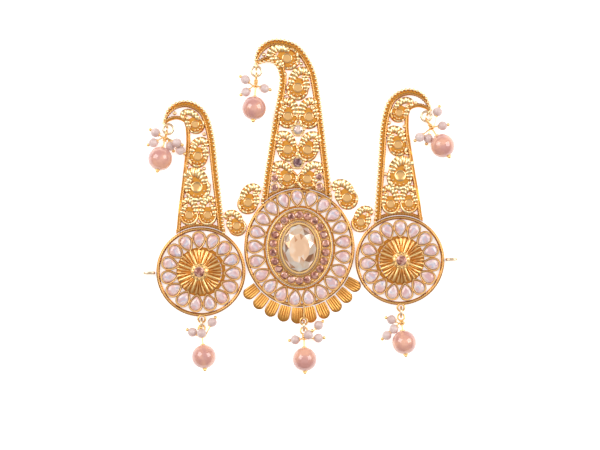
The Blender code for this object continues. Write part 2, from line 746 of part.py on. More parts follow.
def build_links(finish):
    """Four paisleys that stand against the centre ring, two on each side, between it and the side medallions."""
    rows = (
        ("link_left_upper", 140.5, 1.02, 66.0, 0.0),
        ("link_left_lower", 162.0, 0.9, 122.0, 180.0),
        ("link_right_upper", 44.5, 1.05, 124.0, 180.0),
        ("link_right_lower", 21.5, 0.9, 60.0, 0.0),
    )
    for name, angle, size, lean, curl in rows:
        radius = size * LINK_RADIUS
        bowl, _ = oval(RING_HALF_WIDTH, RING_HALF_HEIGHT, angle, radius + GAP)
        scroll = bowl + heading(lean) * size * LINK_LENGTH
        node(name, paisley(bowl, scroll, radius, heading(curl)), finish["metal"])


def build_petals(finish):
    for i in range(PETALS):
        angle = PETAL_START + (PETAL_END - PETAL_START) * i / (PETALS - 1)
        root, normal = oval(RING_HALF_WIDTH, RING_HALF_HEIGHT, angle, GAP)
        place = Matrix.Translation(root) @ Matrix.Rotation(math.atan2(normal.y, normal.x), 4, "Z")
        node(f"petal_{i + 1}", [petal(place)], finish["petal"])


def build():
    clear_scene()
    finish = finishes()
    build_centre(finish)
    for name, angle, mirrored in (("left", LEFT_CONTACT_ANGLE, False), ("right", RIGHT_CONTACT_ANGLE, True)):
        origin, _ = oval(RING_HALF_WIDTH, RING_HALF_HEIGHT, angle, SIDE_RING_GAP + SIDE_RING_RADIUS)
        build_side(name, origin, mirrored, finish)
    build_links(finish)
    build_petals(finish)


build()
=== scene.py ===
"""Looks of the kalgi: gilt rope and grain work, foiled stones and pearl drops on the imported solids.

The jewel lies on its back on the floor, and the camera looks straight down on it. All places are in metres
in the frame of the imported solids: X to the right, Y up the plumes and Z out of the front.
"""

from __future__ import annotations

import logging
import math
import random
from collections.abc import Iterable, Sequence
from dataclasses import dataclass
from enum import Enum
from typing import Any

import bmesh
import bpy
from mathutils import Matrix, Vector

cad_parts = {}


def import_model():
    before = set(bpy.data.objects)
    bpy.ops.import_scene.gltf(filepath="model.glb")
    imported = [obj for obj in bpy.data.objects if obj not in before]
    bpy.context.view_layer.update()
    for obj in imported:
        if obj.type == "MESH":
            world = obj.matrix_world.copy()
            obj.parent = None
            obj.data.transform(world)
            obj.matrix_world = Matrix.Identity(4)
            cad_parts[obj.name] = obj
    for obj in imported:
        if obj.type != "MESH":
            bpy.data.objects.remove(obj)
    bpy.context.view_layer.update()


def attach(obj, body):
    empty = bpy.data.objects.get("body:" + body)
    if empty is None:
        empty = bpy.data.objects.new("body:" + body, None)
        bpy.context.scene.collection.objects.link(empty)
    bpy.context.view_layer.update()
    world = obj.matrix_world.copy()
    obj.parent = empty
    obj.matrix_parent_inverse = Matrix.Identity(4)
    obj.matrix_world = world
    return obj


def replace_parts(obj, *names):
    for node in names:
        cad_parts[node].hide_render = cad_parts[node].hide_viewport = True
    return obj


LOG = logging.getLogger("kalgi")
Colour = tuple[float, float, float, float]
Values = dict[Any, Any]
Tints = Sequence[Sequence[float]]

MM = 0.001
BODY = "root"
SEED = 11
TINT = "tint"
FLAT_ANGLE = math.radians(38)

# Fits shared with the solids
GAP = 0.3 * MM
LINK_CLEARANCE = 0.45 * MM
JUMP_RING_WIRE = 0.5 * MM
JUMP_RING_RADIUS = 1.9 * MM
EYELET_WIRE = 0.4 * MM
PIN_WIRE = 0.35 * MM
STEM_WIRE = 0.3 * MM
EYELET_RADIUS = JUMP_RING_WIRE + LINK_CLEARANCE + EYELET_WIRE
PIN_EYE_RADIUS = JUMP_RING_WIRE + LINK_CLEARANCE + PIN_WIRE
HUB_RADIUS = 2 * STEM_WIRE + LINK_CLEARANCE
LINK_LEVEL = EYELET_RADIUS + EYELET_WIRE


class Side(Enum):
    """The two side assemblies: their contact angle on the centre ring, and whether they are mirrored."""

    LEFT = (193.5, False)
    RIGHT = (-7.0, True)

    @property
    def label(self) -> str:
        """The side's name as the solids have it."""
        return self.name.lower()


class Edge(Enum):
    """The two edges of a plume: the outer one and the one inside the hook."""

    OUTER = 1
    INNER = -1


class Sock:
    """A shader value: arithmetic on it adds Math nodes to its material."""

    def __init__(self, shade: Shade, value: Any) -> None:
        """Keeps a socket or number with the shade that it belongs to."""
        self.shade = shade
        self.value = value

    def join(self, operation: str, first: Any, second: Any) -> Sock:
        """Adds one Math node.

        Args:
            operation: The node's operation.
            first: The first value.
            second: The second value.

        Returns:
            The node's output.
        """
        made = self.shade.node("ShaderNodeMath", {"operation": operation}, {0: first, 1: second})
        return Sock(self.shade, made.outputs[0])

    def __add__(self, other: Any) -> Sock:
        """This value plus another."""
        return self.join("ADD", self, other)

    def __radd__(self, other: Any) -> Sock:
        """Another value plus this one."""
        return self.join("ADD", other, self)

    def __sub__(self, other: Any) -> Sock:
        """This value minus another."""
        return self.join("SUBTRACT", self, other)

    def __rsub__(self, other: Any) -> Sock:
        """Another value minus this one."""
        return self.join("SUBTRACT", other, self)

    def __mul__(self, other: Any) -> Sock:
        """This value times another."""
        return self.join("MULTIPLY", self, other)

    def __rmul__(self, other: Any) -> Sock:
        """Another value times this one."""
        return self.join("MULTIPLY", other, self)


def put(tree: bpy.types.NodeTree, socket: Any, value: Any) -> None:
    """Links a value into a socket, or sets the socket where it is plain.

    Args:
        tree: The socket's tree.
        socket: The socket.
        value: A Sock, an output socket or a plain value.
    """
    plain = value.value if isinstance(value, Sock) else value
    if isinstance(plain, bpy.types.NodeSocket):
        tree.links.new(plain, socket)
    else:
        socket.default_value = plain


def add_node(tree: bpy.types.NodeTree, kind: str, settings: Values | None, values: Values | None) -> Any:
    """Adds one node.

    Args:
        tree: The tree that it goes into.
        kind: The node's type.
        settings: Its properties, which are set first. A ramp's stops are pairs of place and colour.
        values: A value or link for each socket, by name or number.

    Returns:
        The node.
    """
    made = tree.nodes.new(kind)
    for name, value in (settings or {}).items():
        if name == "stops":
            ramp = made.color_ramp
            while len(ramp.elements) < len(value):
                ramp.elements.new(1.0)
            for element, (where, colour) in zip(ramp.elements, value):
                element.position = where
                element.color = colour
        else:
            setattr(made, name, value)
    for name, value in (values or {}).items():
        put(tree, made.inputs[name], value)
    return made


class Shade:
    """A material under construction."""

    def __init__(self, name: str) -> None:
        """Makes a material with a Principled shader and its Object coordinates."""
        self.material = bpy.data.materials.new(name)
        self.material.use_nodes = True
        self.tree = self.material.node_tree
        self.shader = self.tree.nodes["Principled BSDF"]
        self.place = self.node("ShaderNodeTexCoord").outputs["Object"]

    def node(self, kind: str, settings: Values | None = None, values: Values | None = None) -> Any:
        """Adds one node and returns it."""
        return add_node(self.tree, kind, settings, values)

    def noise(self, scale: float, detail: float = 2.0) -> Sock:
        """Noise over the surface.

        Args:
            scale: How many blotches there are to a metre.
            detail: Its octaves.

        Returns:
            The noise, from 0 to 1.
        """
        values = {"Vector": self.place, "Scale": scale, "Detail": detail}
        made = self.node("ShaderNodeTexNoise", {}, values)
        return Sock(self, made.outputs["Fac"])

    def height(self, low: float, high: float) -> Sock:
        """How high a point is, from 0 at one level to 1 at another.

        Args:
            low: The lower level, in metres.
            high: The upper level.

        Returns:
            The share of the way up, smoothed.
        """
        apart = self.node("ShaderNodeSeparateXYZ", {}, {0: self.place})
        return self.spread(Sock(self, apart.outputs["Z"]), low, high)

    def spread(self, value: Sock, low: float, high: float) -> Sock:
        """A value as a share of a range, smoothed and kept from 0 to 1.

        Args:
            value: The value.
            low: Where the share is 0.
            high: Where it is 1.

        Returns:
            The share.
        """
        settings = {"interpolation_type": "SMOOTHSTEP"}
        values = {"Value": value, "From Min": low, "From Max": high}
        made = self.node("ShaderNodeMapRange", settings, values)
        return Sock(self, made.outputs["Result"])

    def mix(self, share: Any, first: Any, second: Any, blend: str = "MIX") -> Sock:
        """Two colours mixed.

        Args:
            share: The share of the second.
            first: The first colour.
            second: The second colour.
            blend: The blend type.

        Returns:
            The mixed colour.
        """
        settings = {"data_type": "RGBA", "blend_type": blend}
        made = self.node("ShaderNodeMix", settings, {0: share, 6: first, 7: second})
        return Sock(self, made.outputs[2])

    def ramp(self, share: Sock, stops: Sequence[tuple[float, Colour]]) -> Sock:
        """A colour picked from a ramp.

        Args:
            share: The place on the ramp.
            stops: Its places and colours.

        Returns:
            The colour.
        """
        return Sock(self, self.node("ShaderNodeValToRGB", {"stops": stops}, {0: share}).outputs["Color"])

    def bump(self, height: Sock, depth: float, strength: float) -> Sock:
        """A normal that follows a height.

        Args:
            height: The height, from 0 to 1.
            depth: What 1 is in metres.
            strength: How strongly it shows.

        Returns:
            The normal.
        """
        values = {"Height": height, "Distance": depth, "Strength": strength}
        return Sock(self, self.node("ShaderNodeBump", {}, values).outputs["Normal"])

    def finish(self, values: dict[str, Any]) -> bpy.types.Material:
        """Sets the shader's sockets.

        Args:
            values: A value or link for each socket.

        Returns:
            The material.
        """
        for name, value in values.items():
            put(self.tree, self.shader.inputs[name], value)
        return self.material


@dataclass(frozen=True)
class Gilt:
    """Gilt metal with a fine cast grain, graded by height: pale on its crests as painted light, orange in
    its recesses as painted shade.
    """

    name: str
    slot: str
    # The two colours are mixed by height from low to high: the crest colour is painted light on high
    # places, the darker one is painted shade in hollows.
    crest: Colour
    recess: Colour
    low: float = 0.7 * MM
    high: float = 2.1 * MM
    roughness: float = 0.26
    blotches: float = 330.0
    grain: float = 2600.0

    def material(self) -> bpy.types.Material:
        """The finish as a material."""
        shade = Shade(self.name)
        blotch = shade.noise(self.blotches, 3.0)
        fine = shade.noise(self.grain)
        # Painted light and shade: the colour runs from the darker one in hollows to the pale crest colour
        # on high places, broken by random blotches.
        rise = shade.height(self.low, self.high)
        colour = shade.mix(rise * (0.78 + 0.36 * blotch), self.recess, self.crest)
        return shade.finish(
            {
                "Base Color": colour,
                "Metallic": 1.0,
                "Roughness": self.roughness + 0.16 * blotch - 0.05 * rise,
                "Normal": shade.bump(fine, 0.05 * MM, 0.3),
            }
        )


@dataclass(frozen=True)
class Gem:
    """A foiled stone: each facet has its own tint, the stone's colour made lighter and darker from facet to
    facet as painted reflections, and clouds of other colours play over it.
    """

    name: str
    slot: str
    play: tuple[tuple[float, Colour], ...]
    share: float
    clouds: float
    # A faint emission that makes the stone glow: painted light.
    glow: float = 0.0
    metallic: float = 0.0
    coat: float = 1.0

    def material(self) -> bpy.types.Material:
        """The finish as a material."""
        shade = Shade(self.name)
        # The facet tints carry painted reflections, lighter and darker from facet to facet.
        facet = Sock(shade, shade.node("ShaderNodeAttribute", {"attribute_name": TINT}).outputs["Color"])
        cloud = shade.ramp(shade.spread(shade.noise(self.clouds, 1.0), 0.36, 0.64), self.play)
        colour = shade.mix(self.share, facet, cloud)
        return shade.finish(
            {
                "Base Color": colour,
                "Metallic": self.metallic,
                "Roughness": 0.06,
                "Coat Weight": self.coat,
                "Coat Roughness": 0.02,
                # The emission is a painted glow.
                "Emission Color": colour,
                "Emission Strength": self.glow,
            }
        )


@dataclass(frozen=True)
class Pearl:
    """A pearl: one colour with soft clouds of another under a clear coat, and a faint emission that is a
    painted glow.
    """

    name: str
    slot: str
    colour: Colour
    cloud: Colour
    roughness: float
    coat: float
    glow: float

    def material(self) -> bpy.types.Material:
        """The finish as a material."""
        shade = Shade(self.name)
        # Clouds of the second colour by noise, a painted reflection of the gilt on the large pearls; the
        # emission is a painted glow.
        colour = shade.mix(shade.spread(shade.noise(240.0, 3.0), 0.35, 0.7), self.colour, self.cloud)
        return shade.finish(
            {
                "Base Color": colour,
                "Roughness": self.roughness,
                "Coat Weight": self.coat,
                "Coat Roughness": 0.04,
                "Emission Color": colour,
                "Emission Strength": self.glow,
            }
        )


@dataclass(frozen=True)
class Paper:
    """The pale floor."""

    name: str
    colour: Colour
    glow: float = 0.6

    def material(self) -> bpy.types.Material:
        """The finish as a material."""
        values = {"Base Color": self.colour, "Roughness": 0.9, "Emission Color": self.colour}
        return Shade(self.name).finish({**values, "Emission Strength": self.glow})


Finish = Gilt | Gem | Pearl | Paper

# Each gilt paints light and shade by height: its first colour lights the crests, and its second, darker one
# shades the hollows.
GILT = Gilt("gilt", "gilt", (1.0, 0.82, 0.49, 1), (0.8, 0.36, 0.06, 1), 1.1 * MM, 2.1 * MM)
WIRE_GILT = Gilt("wire_gilt", "gilt", (1.0, 0.68, 0.3, 1), (0.6, 0.24, 0.04, 1), 1.25 * MM, 2.35 * MM)
FLOWER_GILT = Gilt("flower_gilt", "gilt", (1.0, 0.7, 0.32, 1), (0.6, 0.24, 0.04, 1), 1.9 * MM, 3.3 * MM)
# A darker, matte copy of the gilt for the petals and the halo's channel: its darkness is painted shade, as
# the petals lie under the ring.
SHADED_GILT = Gilt(
    "deep_gilt",
    "deep_gilt",
    (0.82, 0.43, 0.12, 1),
    (0.53, 0.22, 0.035, 1),
    0.3 * MM,
    1.1 * MM,
    roughness=0.32,
)
PALE_METAL = Gilt(
    "pale_metal", "pale_metal", (0.88, 0.7, 0.5, 1), (0.55, 0.36, 0.2, 1), 0.0, 2 * MM, roughness=0.18
)
# The opal's faint glow is painted light.
OPAL = Gem(
    "opal",
    "gilt",
    (
        (0.0, (0.78, 0.42, 0.4, 1)),
        (0.3, (0.9, 0.7, 0.66, 1)),
        (0.5, (0.84, 0.58, 0.62, 1)),
        (0.68, (0.95, 0.84, 0.8, 1)),
        (0.84, (0.56, 0.6, 0.76, 1)),
        (1.0, (0.8, 0.48, 0.46, 1)),
    ),
    share=0.62,
    clouds=240.0,
    glow=0.02,
)
ROSE_STONE = Gem(
    "rose_stone",
    "rose_stone",
    ((0.0, (0.12, 0.035, 0.03, 1)), (0.5, (0.52, 0.22, 0.17, 1)), (1.0, (0.9, 0.6, 0.5, 1))),
    share=0.35,
    clouds=900.0,
    metallic=0.3,
    coat=0.45,
)
DARK_STONE = Gem(
    "dark_stone",
    "rose_stone",
    ((0.0, (0.03, 0.01, 0.015, 1)), (0.5, (0.12, 0.04, 0.05, 1)), (1.0, (0.42, 0.22, 0.22, 1))),
    share=0.3,
    clouds=900.0,
    coat=0.4,
)
CHAMPAGNE = Gem(
    "champagne_stone",
    "champagne_stone",
    ((0.0, (0.62, 0.27, 0.1, 1)), (0.5, (0.93, 0.55, 0.32, 1)), (1.0, (1.0, 0.9, 0.8, 1))),
    share=0.3,
    clouds=260.0,
    metallic=0.45,
)
# The large pearls' orange clouds are a painted reflection of the gilt around them.
ROSE_PEARL = Pearl(
    "rose_pearl",
    "rose_pearl",
    (0.62, 0.3, 0.27, 1),
    (0.85, 0.45, 0.32, 1),
    roughness=0.12,
    coat=1.0,
    glow=0.02,
)
SMALL_PEARL = Pearl(
    "small_pearl",
    "small_pearl",
    (0.65, 0.47, 0.45, 1),
    (0.78, 0.64, 0.62, 1),
    roughness=0.36,
    coat=0.4,
    glow=0.03,
)
PAPER = Paper("paper", (0.94, 0.94, 0.94, 1))

# Colours that the facets of each kind of stone pick from: the stone's own colours, made lighter and darker
# from facet to facet as painted reflections
PEAR_TINTS = ((0.86, 0.6, 0.54), (0.68, 0.4, 0.4), (0.6, 0.48, 0.66))
PEAR_TINTS += ((0.95, 0.84, 0.78), (0.42, 0.34, 0.44))
ROSE_TINTS = ((0.34, 0.11, 0.08), (0.66, 0.32, 0.24), (0.18, 0.05, 0.04))
ROSE_TINTS += ((0.86, 0.54, 0.44), (0.46, 0.17, 0.12))
DARK_TINTS = ((0.12, 0.04, 0.05), (0.25, 0.1, 0.1), (0.06, 0.02, 0.03), (0.6, 0.4, 0.4), (0.2, 0.08, 0.1))
PALE_TINTS = ((0.92, 0.78, 0.72), (0.98, 0.93, 0.9), (0.7, 0.5, 0.45))
PALE_TINTS += ((0.95, 0.86, 0.82), (0.8, 0.64, 0.6))

# A ring's shoulder as a share of its crest, a hoop's top, and a frame's bevel across and down
SHOULDER = 0.8
HOOP_TOP = 1.0 * MM
BEVEL = 0.12
BEVEL_FOOT = 0.85

# A feather's section: shares of its half width, of its ribs' lean and of its crest
FEATHER = ((-1.0, 1.0, 0.72), (-0.5, 0.5, 0.94), (0.0, 0.0, 1.0), (0.5, 0.5, 0.94), (1.0, 1.0, 0.72))
FEATHER_FOOT = 0.3

# How far a feather's ribs widen it, raise it and lean along it
RIB_WIDTH = 0.04
RIB_RISE = 0.3
RIB_LEAN = 0.3

# A cut stone's rows: share of the radius, share of the rise, and lag in facets
BRILLIANT = ((1.0, 0.0, 0.0), (1.0, 0.3, 0.0), (0.8, 0.75, 0.5), (0.55, 1.0, 0.0))
BRILLIANT_SIDES = 8
BRILLIANT_RISE = 0.5

# A paisley's bowl and dish: share of its radius and share of its height
BOWL = ((0.97, 0.2), (0.97, 0.5), (0.8, 0.52), (0.4, 0.5))
DISH = ((0.42, 0.5), (0.42, 0.8), (0.38, 0.84), (0.32, 0.73), (0.1, 0.72))

# A paisley's arms: places across in radii and up as a share, then the half width in radii
LONG_ARM = (((-0.66, 0.1), (-0.7, 0.46), (-0.46, 0.84), (0.02, 1.02), (0.4, 0.93), (0.44, 0.74)), 0.38)
SHORT_ARM = (((0.7, 0.08), (0.6, 0.36), (0.32, 0.58), (0.04, 0.6)), 0.33)

# A paisley's milled rim: its first heading from the scroll's and its sweep, in degrees
RIM_START = 62
RIM_SWEEP = 236
RIM_STEPS = 40

# A paisley's granules: headings in degrees, place in bowl radii, level and radius
GRANULE_TURNS = (-48, -16, 16, 48)
GRANULE_PLACE = 0.56
GRANULE_LEVEL = 1.45 * MM
GRANULE_RADIUS = 0.42 * MM

# A flower stone's seat: share of the stone's radius, and millimetres above the flower
FLOWER_SEAT = ((1.76, -0.6), (1.6, -0.35), (1.3, 0.2), (1.0, 0.3))

# The halo's channel: share of the way across, and height in millimetres
CHANNEL = ((0.0, 0.0), (0.0, 2.0), (0.13, 2.0), (0.16, 1.6))
CHANNEL += ((0.84, 1.6), (0.87, 2.0), (1.0, 2.0), (1.0, 0.0))

# The links: name, ellipse angle, size, lean and the heading of the curl
LINKS = (
    ("link_left_upper", 140.5, 1.02, 66.0, 0.0),
    ("link_left_lower", 162.0, 0.9, 122.0, 180.0),
    ("link_right_upper", 44.5, 1.05, 124.0, 180.0),
    ("link_right_lower", 21.5, 0.9, 60.0, 0.0),
)


class Finishes:
    """Makes each finish's material once."""

    def __init__(self) -> None:
        """Starts with none made."""
        self.made: dict[str, bpy.types.Material] = {}

    def __getitem__(self, finish: Finish) -> bpy.types.Material:
        """The material of a finish."""
        if finish.name not in self.made:
            self.made[finish.name] = finish.material()
        return self.made[finish.name]


FINISHES = Finishes()


def heading(degrees: float) -> Vector:
    """The flat unit vector of a heading, counted from +X towards +Y.

    Args:
        degrees: The heading.

    Returns:
        The vector.
    """
    return Vector((math.cos(math.radians(degrees)), math.sin(math.radians(degrees)), 0))


def level(point: Vector, z: float) -> Vector:
    """A point of the plan at a height.

    Args:
        point: The point.
        z: The height.

    Returns:
        The raised point.
    """
    return Vector((point.x, point.y, z))


def tangent(points: Sequence[Vector], i: int, closed: bool = False) -> Vector:
    """The direction of a path at one of its points.

    Args:
        points: The path.
        i: The point's number.
        closed: Whether the path's ends meet.

    Returns:
        The unit direction.
    """
    if closed:
        return (points[(i + 1) % len(points)] - points[i - 1]).normalized()
    return (points[min(i + 1, len(points) - 1)] - points[max(i - 1, 0)]).normalized()


def smooth(points: Sequence[Vector], step: float) -> list[Vector]:
    """A smooth path through points, in even steps along each stretch.

    Args:
        points: The points.
        step: About how far apart the new ones are.

    Returns:
        The new points.
    """
    path = []
    for i in range(len(points) - 1):
        before, start = points[max(i - 1, 0)], points[i]
        end, after = points[i + 1], points[min(i + 2, len(points) - 1)]
        count = max(1, round((end - start).length / step))
        for j in range(count):
            t = j / count
            bend = (2 * before - 5 * start + 4 * end - after) * t * t
            twist = (3 * start - before - 3 * end + after) * t * t * t
            path.append(0.5 * (2 * start + (end - before) * t + bend + twist))
    return path + [points[-1].copy()]


def square(direction: Vector) -> tuple[Vector, Vector]:
    """Two unit vectors square to a direction.

    Args:
        direction: The direction.

    Returns:
        The first, as level as can be, and the second.
    """
    first = Vector((0, 0, 1)).cross(direction)
    if first.length < 1e-6:
        first = Vector((1, 0, 0))
    first.normalize()
    return first, direction.cross(first).normalized()


@dataclass(frozen=True)
class Oval:
    """An ellipse of the plan about the jewel's centre, or about that of a side medallion."""

    half_width: float
    half_height: float

    def point(self, angle: float, offset: float = 0.0) -> Vector:
        """A point of the ellipse, moved out along its normal.

        Args:
            angle: The parameter angle, in degrees.
            offset: How far out.

        Returns:
            The point.
        """
        way = heading(angle)
        point = Vector((self.half_width * way.x, self.half_height * way.y, 0))
        return point + self.normal(angle) * offset

    def normal(self, angle: float) -> Vector:
        """The outward normal at a parameter angle."""
        way = heading(angle)
        return Vector((way.x / self.half_width, way.y / self.half_height, 0)).normalized()

    def path(self, count: int, offset: float = 0.0, z: float = 0.0) -> list[Vector]:
        """The ellipse as a closed path.

        Args:
            count: Its number of points.
            offset: How far outside the ellipse it runs.
            z: Its height.

        Returns:
            The points.
        """
        return [level(self.point(360 * i / count, offset), z) for i in range(count)]


class Shape:
    """A mesh under construction, from closed skins."""

    def __init__(self, matrix: Matrix | None = None) -> None:
        """Starts an empty mesh.

        Args:
            matrix: What all its points pass through.
        """
        self.mesh = bmesh.new()
        self.matrix = matrix or Matrix.Identity(4)
        self.tint = self.mesh.loops.layers.float_color.new(TINT)
        self.random = random.Random(SEED)

    def face(self, corners: Sequence[Any], tint: Sequence[float] | None = None) -> None:
        """Adds a face.

        Args:
            corners: Its vertices.
            tint: Its colour.
        """
        made = self.mesh.faces.new(corners)
        for loop in made.loops:
            loop[self.tint] = (*(tint or (1, 1, 1)), 1.0)

    def skin(
        self, sections: Sequence[Sequence[Vector]], closed: bool = False, tints: Tints | None = None
    ) -> None:
        """Adds a closed skin through sections of as many points each.

        Args:
            sections: The sections.
            closed: Whether the last joins the first. Otherwise each end gets a cap.
            tints: Colours that its facets pick from.
        """
        rings = [[self.mesh.verts.new(self.matrix @ point) for point in section] for section in sections]
        following = rings[1:] + rings[:1] if closed else rings[1:]
        for ring, after in zip(rings, following):
            for i, corner in enumerate(ring):
                j = (i + 1) % len(ring)
                self.face((corner, ring[j], after[j], after[i]), self.pick(tints))
        if not closed:
            self.face(rings[0], self.pick(tints))
            self.face(rings[-1], self.pick(tints))

    def pick(self, tints: Tints | None) -> Sequence[float] | None:
        """One of some tints, or none."""
        return self.random.choice(tints) if tints else None

    def ball(self, centre: Vector, radius: float, segments: int = 12, rings: int = 8) -> None:
        """Adds a sphere.

        Args:
            centre: Its centre.
            radius: Its radius.
            segments: Its sides.
            rings: Its bands from pole to pole.
        """
        place = self.matrix @ Matrix.Translation(centre)
        bands = {"u_segments": segments, "v_segments": rings}
        bmesh.ops.create_uvsphere(self.mesh, **bands, radius=radius, matrix=place)

    def wire(self, path: Sequence[Vector], radius: float, sides: int = 8, closed: bool = False) -> None:
        """Adds a round wire.

        Args:
            path: Its centreline.
            radius: Its radius.
            sides: Its sides.
            closed: Whether its ends meet.
        """
        sections = []
        for i, point in enumerate(path):
            first, second = square(tangent(path, i, closed))
            turns = [2 * math.pi * j / sides for j in range(sides)]
            sections.append([point + radius * (first * math.cos(t) + second * math.sin(t)) for t in turns])
        self.skin(sections, closed)

    def hoop(self, centre: Vector, axis: Vector, radius: float, wire: float, count: int = 32) -> None:
        """Adds a round ring of wire.

        Args:
            centre: Its centre.
            axis: Its axis.
            radius: The radius of its centreline.
            wire: The radius of its wire.
            count: Its sections.
        """
        first, second = square(axis.normalized())
        turns = [2 * math.pi * i / count for i in range(count)]
        path = [centre + radius * (first * math.cos(t) + second * math.sin(t)) for t in turns]
        self.wire(path, wire, 10, True)

    def band(self, outer: Sequence[Vector], inner: Sequence[Vector], top: float) -> None:
        """Adds a closed band with a rounded top.

        Args:
            outer: Its outer edge.
            inner: Its inner edge, of as many points.
            top: The height of its crest.
        """
        sections = []
        for a, b in zip(outer, inner):
            sections.append([level(a, 0), level(a, SHOULDER * top), level(a.lerp(b, 0.5), top)])
            sections[-1] += [level(b, SHOULDER * top), level(b, 0)]
        self.skin(sections, closed=True)

    def strip(self, outer: Sequence[Vector], inner: Sequence[Vector], top: float) -> None:
        """Adds a closed band with a flat top.

        Args:
            outer: Its outer edge.
            inner: Its inner edge, of as many points.
            top: Its height.
        """
        pairs = zip(outer, inner)
        self.skin([[level(a, 0), level(a, top), level(b, top), level(b, 0)] for a, b in pairs], closed=True)

    def ribbon(self, left: Sequence[Vector], right: Sequence[Vector], low: float, high: float) -> None:
        """Adds a flat strip between two paths of as many points.

        Args:
            left: One edge.
            right: The other.
            low: Its underside.
            high: Its top.
        """
        sections = []
        for a, b in zip(left, right):
            foot = BEVEL_FOOT * high
            sections.append([level(a, low), level(a, foot), level(a.lerp(b, BEVEL), high)])
            sections[-1] += [level(a.lerp(b, 1 - BEVEL), high), level(b, foot), level(b, low)]
        self.skin(sections)

    def feather(
        self, path: Sequence[Vector], width: float, high: float, pitch: float, blunt: float = 0.5
    ) -> None:
        """Adds a ribbon with ribs across it that tapers towards both ends.

        Args:
            path: Its centreline, in even steps.
            width: Half its width at the widest.
            high: The height of its crest.
            pitch: The distance between ribs.
            blunt: The share of the width that its ends keep.
        """
        step = (path[1] - path[0]).length
        sections = []
        for i, point in enumerate(path):
            way = tangent(path, i)
            across = Vector((-way.y, way.x, 0))
            rib = abs(math.sin(math.pi * (0.5 + i * step / pitch))) ** 0.5
            swell = blunt + (1 - blunt) * max(0.0, math.sin(math.pi * i / (len(path) - 1))) ** 0.7
            wide = width * swell * (1 - RIB_WIDTH + RIB_WIDTH * rib)
            crest = high * (1 - RIB_RISE + RIB_RISE * rib)
            slope = way * (RIB_LEAN * pitch)
            rows = [level(point + across * a * wide - b * slope, c * crest) for a, b, c in FEATHER]
            feet = [level(point + across * a * wide, FEATHER_FOOT * high) for a in (-1, 1)]
            sections.append([feet[0], *rows, feet[1]])
        self.skin(sections)

    def turned(
        self,
        rings: Iterable[tuple[float, float]],
        centre: Vector,
        sides: int = 28,
        turn: float = 0.0,
        tints: Tints | None = None,
    ) -> None:
        """Adds a solid with circular sections on one upright axis.

        Args:
            rings: Rows of radius and height.
            centre: Where its axis stands.
            sides: Its sides.
            turn: The heading of its first corner.
            tints: Colours that its facets pick from.
        """
        spokes = [heading(turn + 360 * i / sides) for i in range(sides)]
        sections = [[level(centre + radius * spoke, z) for spoke in spokes] for radius, z in rings]
        self.skin(sections, tints=tints)

    def brilliant(
        self, centre: Vector, radius: float, base: float, tints: Tints, turn: float = 0.0
    ) -> None:
        """Adds a round cut stone: girdle, two rows of crown facets and a table.

        Args:
            centre: Its centre in the plan.
            radius: Its radius.
            base: The height of its girdle.
            tints: Colours that its facets pick from.
            turn: The heading of its first corner.
        """
        sections = []
        for share, up, lag in BRILLIANT:
            turns = [turn + 360 * (i + lag) / BRILLIANT_SIDES for i in range(BRILLIANT_SIDES)]
            z = base + up * BRILLIANT_RISE * radius
            sections.append([level(centre + share * radius * heading(angle), z) for angle in turns])
        self.skin(sections, tints=tints)

    def piece(self, name: str, finish: Finish, keep: bool = True) -> bpy.types.Object:
        """Turns the mesh into an object with a finish.

        Args:
            name: The object's name.
            finish: Its finish.
            keep: Whether it stays in the scene as a piece of the jewel.

        Returns:
            The object.
        """
        bmesh.ops.recalc_face_normals(self.mesh, faces=self.mesh.faces)
        data = bpy.data.meshes.new(name)
        self.mesh.to_mesh(data)
        self.mesh.free()
        data.materials.append(FINISHES[finish])
        if isinstance(finish, Gem):
            data.shade_flat()
        else:
            data.shade_smooth()
            data.set_sharp_from_angle(angle=FLAT_ANGLE)
        made = bpy.data.objects.new(name, data)
        bpy.context.scene.collection.objects.link(made)
        if keep:
            place(made, finish)
        return made


def place(made: bpy.types.Object, finish: Finish) -> bpy.types.Object:
    """Lets a piece ride on the jewel and reports it.

    Args:
        made: The piece.
        finish: Its finish. It is not used.

    Returns:
        The piece.
    """
    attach(made, BODY)
    LOG.info("%s: %d faces", made.name, len(made.data.polygons))
    return made


class Grower:
    """A Geometry Nodes tree under construction."""

    def __init__(self, name: str, inputs: Sequence[tuple[str, str, Any]]) -> None:
        """Makes a tree with named inputs.

        Args:
            name: The tree's name.
            inputs: Each input's name, socket type and default.
        """
        self.tree = bpy.data.node_groups.new(name, "GeometryNodeTree")
        faces = self.tree.interface
        faces.new_socket("Geometry", in_out="INPUT", socket_type="NodeSocketGeometry")
        for label, kind, value in inputs:
            socket = faces.new_socket(label, in_out="INPUT", socket_type=kind)
            if value is not None:
                socket.default_value = value
        faces.new_socket("Geometry", in_out="OUTPUT", socket_type="NodeSocketGeometry")
        self.inputs = self.tree.nodes.new("NodeGroupInput").outputs

    def node(self, kind: str, settings: Values | None = None, values: Values | None = None) -> Any:
        """Adds one node and returns its outputs."""
        return add_node(self.tree, kind, settings, values).outputs

    def end(self, geometry: Any, shade_smooth: bool) -> bpy.types.GeometryNodeTree:
        """Ends the tree in its real geometry with its material.

        Args:
            geometry: What has been made.
            shade_smooth: Whether its faces are smooth.

        Returns:
            The tree.
        """
        real = self.node("GeometryNodeRealizeInstances", {}, {"Geometry": geometry})["Geometry"]
        values = {"Geometry": real, "Shade Smooth": shade_smooth}
        smoothed = self.node("GeometryNodeSetShadeSmooth", {}, values)
        values = {"Geometry": smoothed["Geometry"], "Material": self.inputs["Material"]}
        dressed = self.node("GeometryNodeSetMaterial", {}, values)["Geometry"]
        self.tree.links.new(dressed, self.tree.nodes.new("NodeGroupOutput").inputs["Geometry"])
        return self.tree


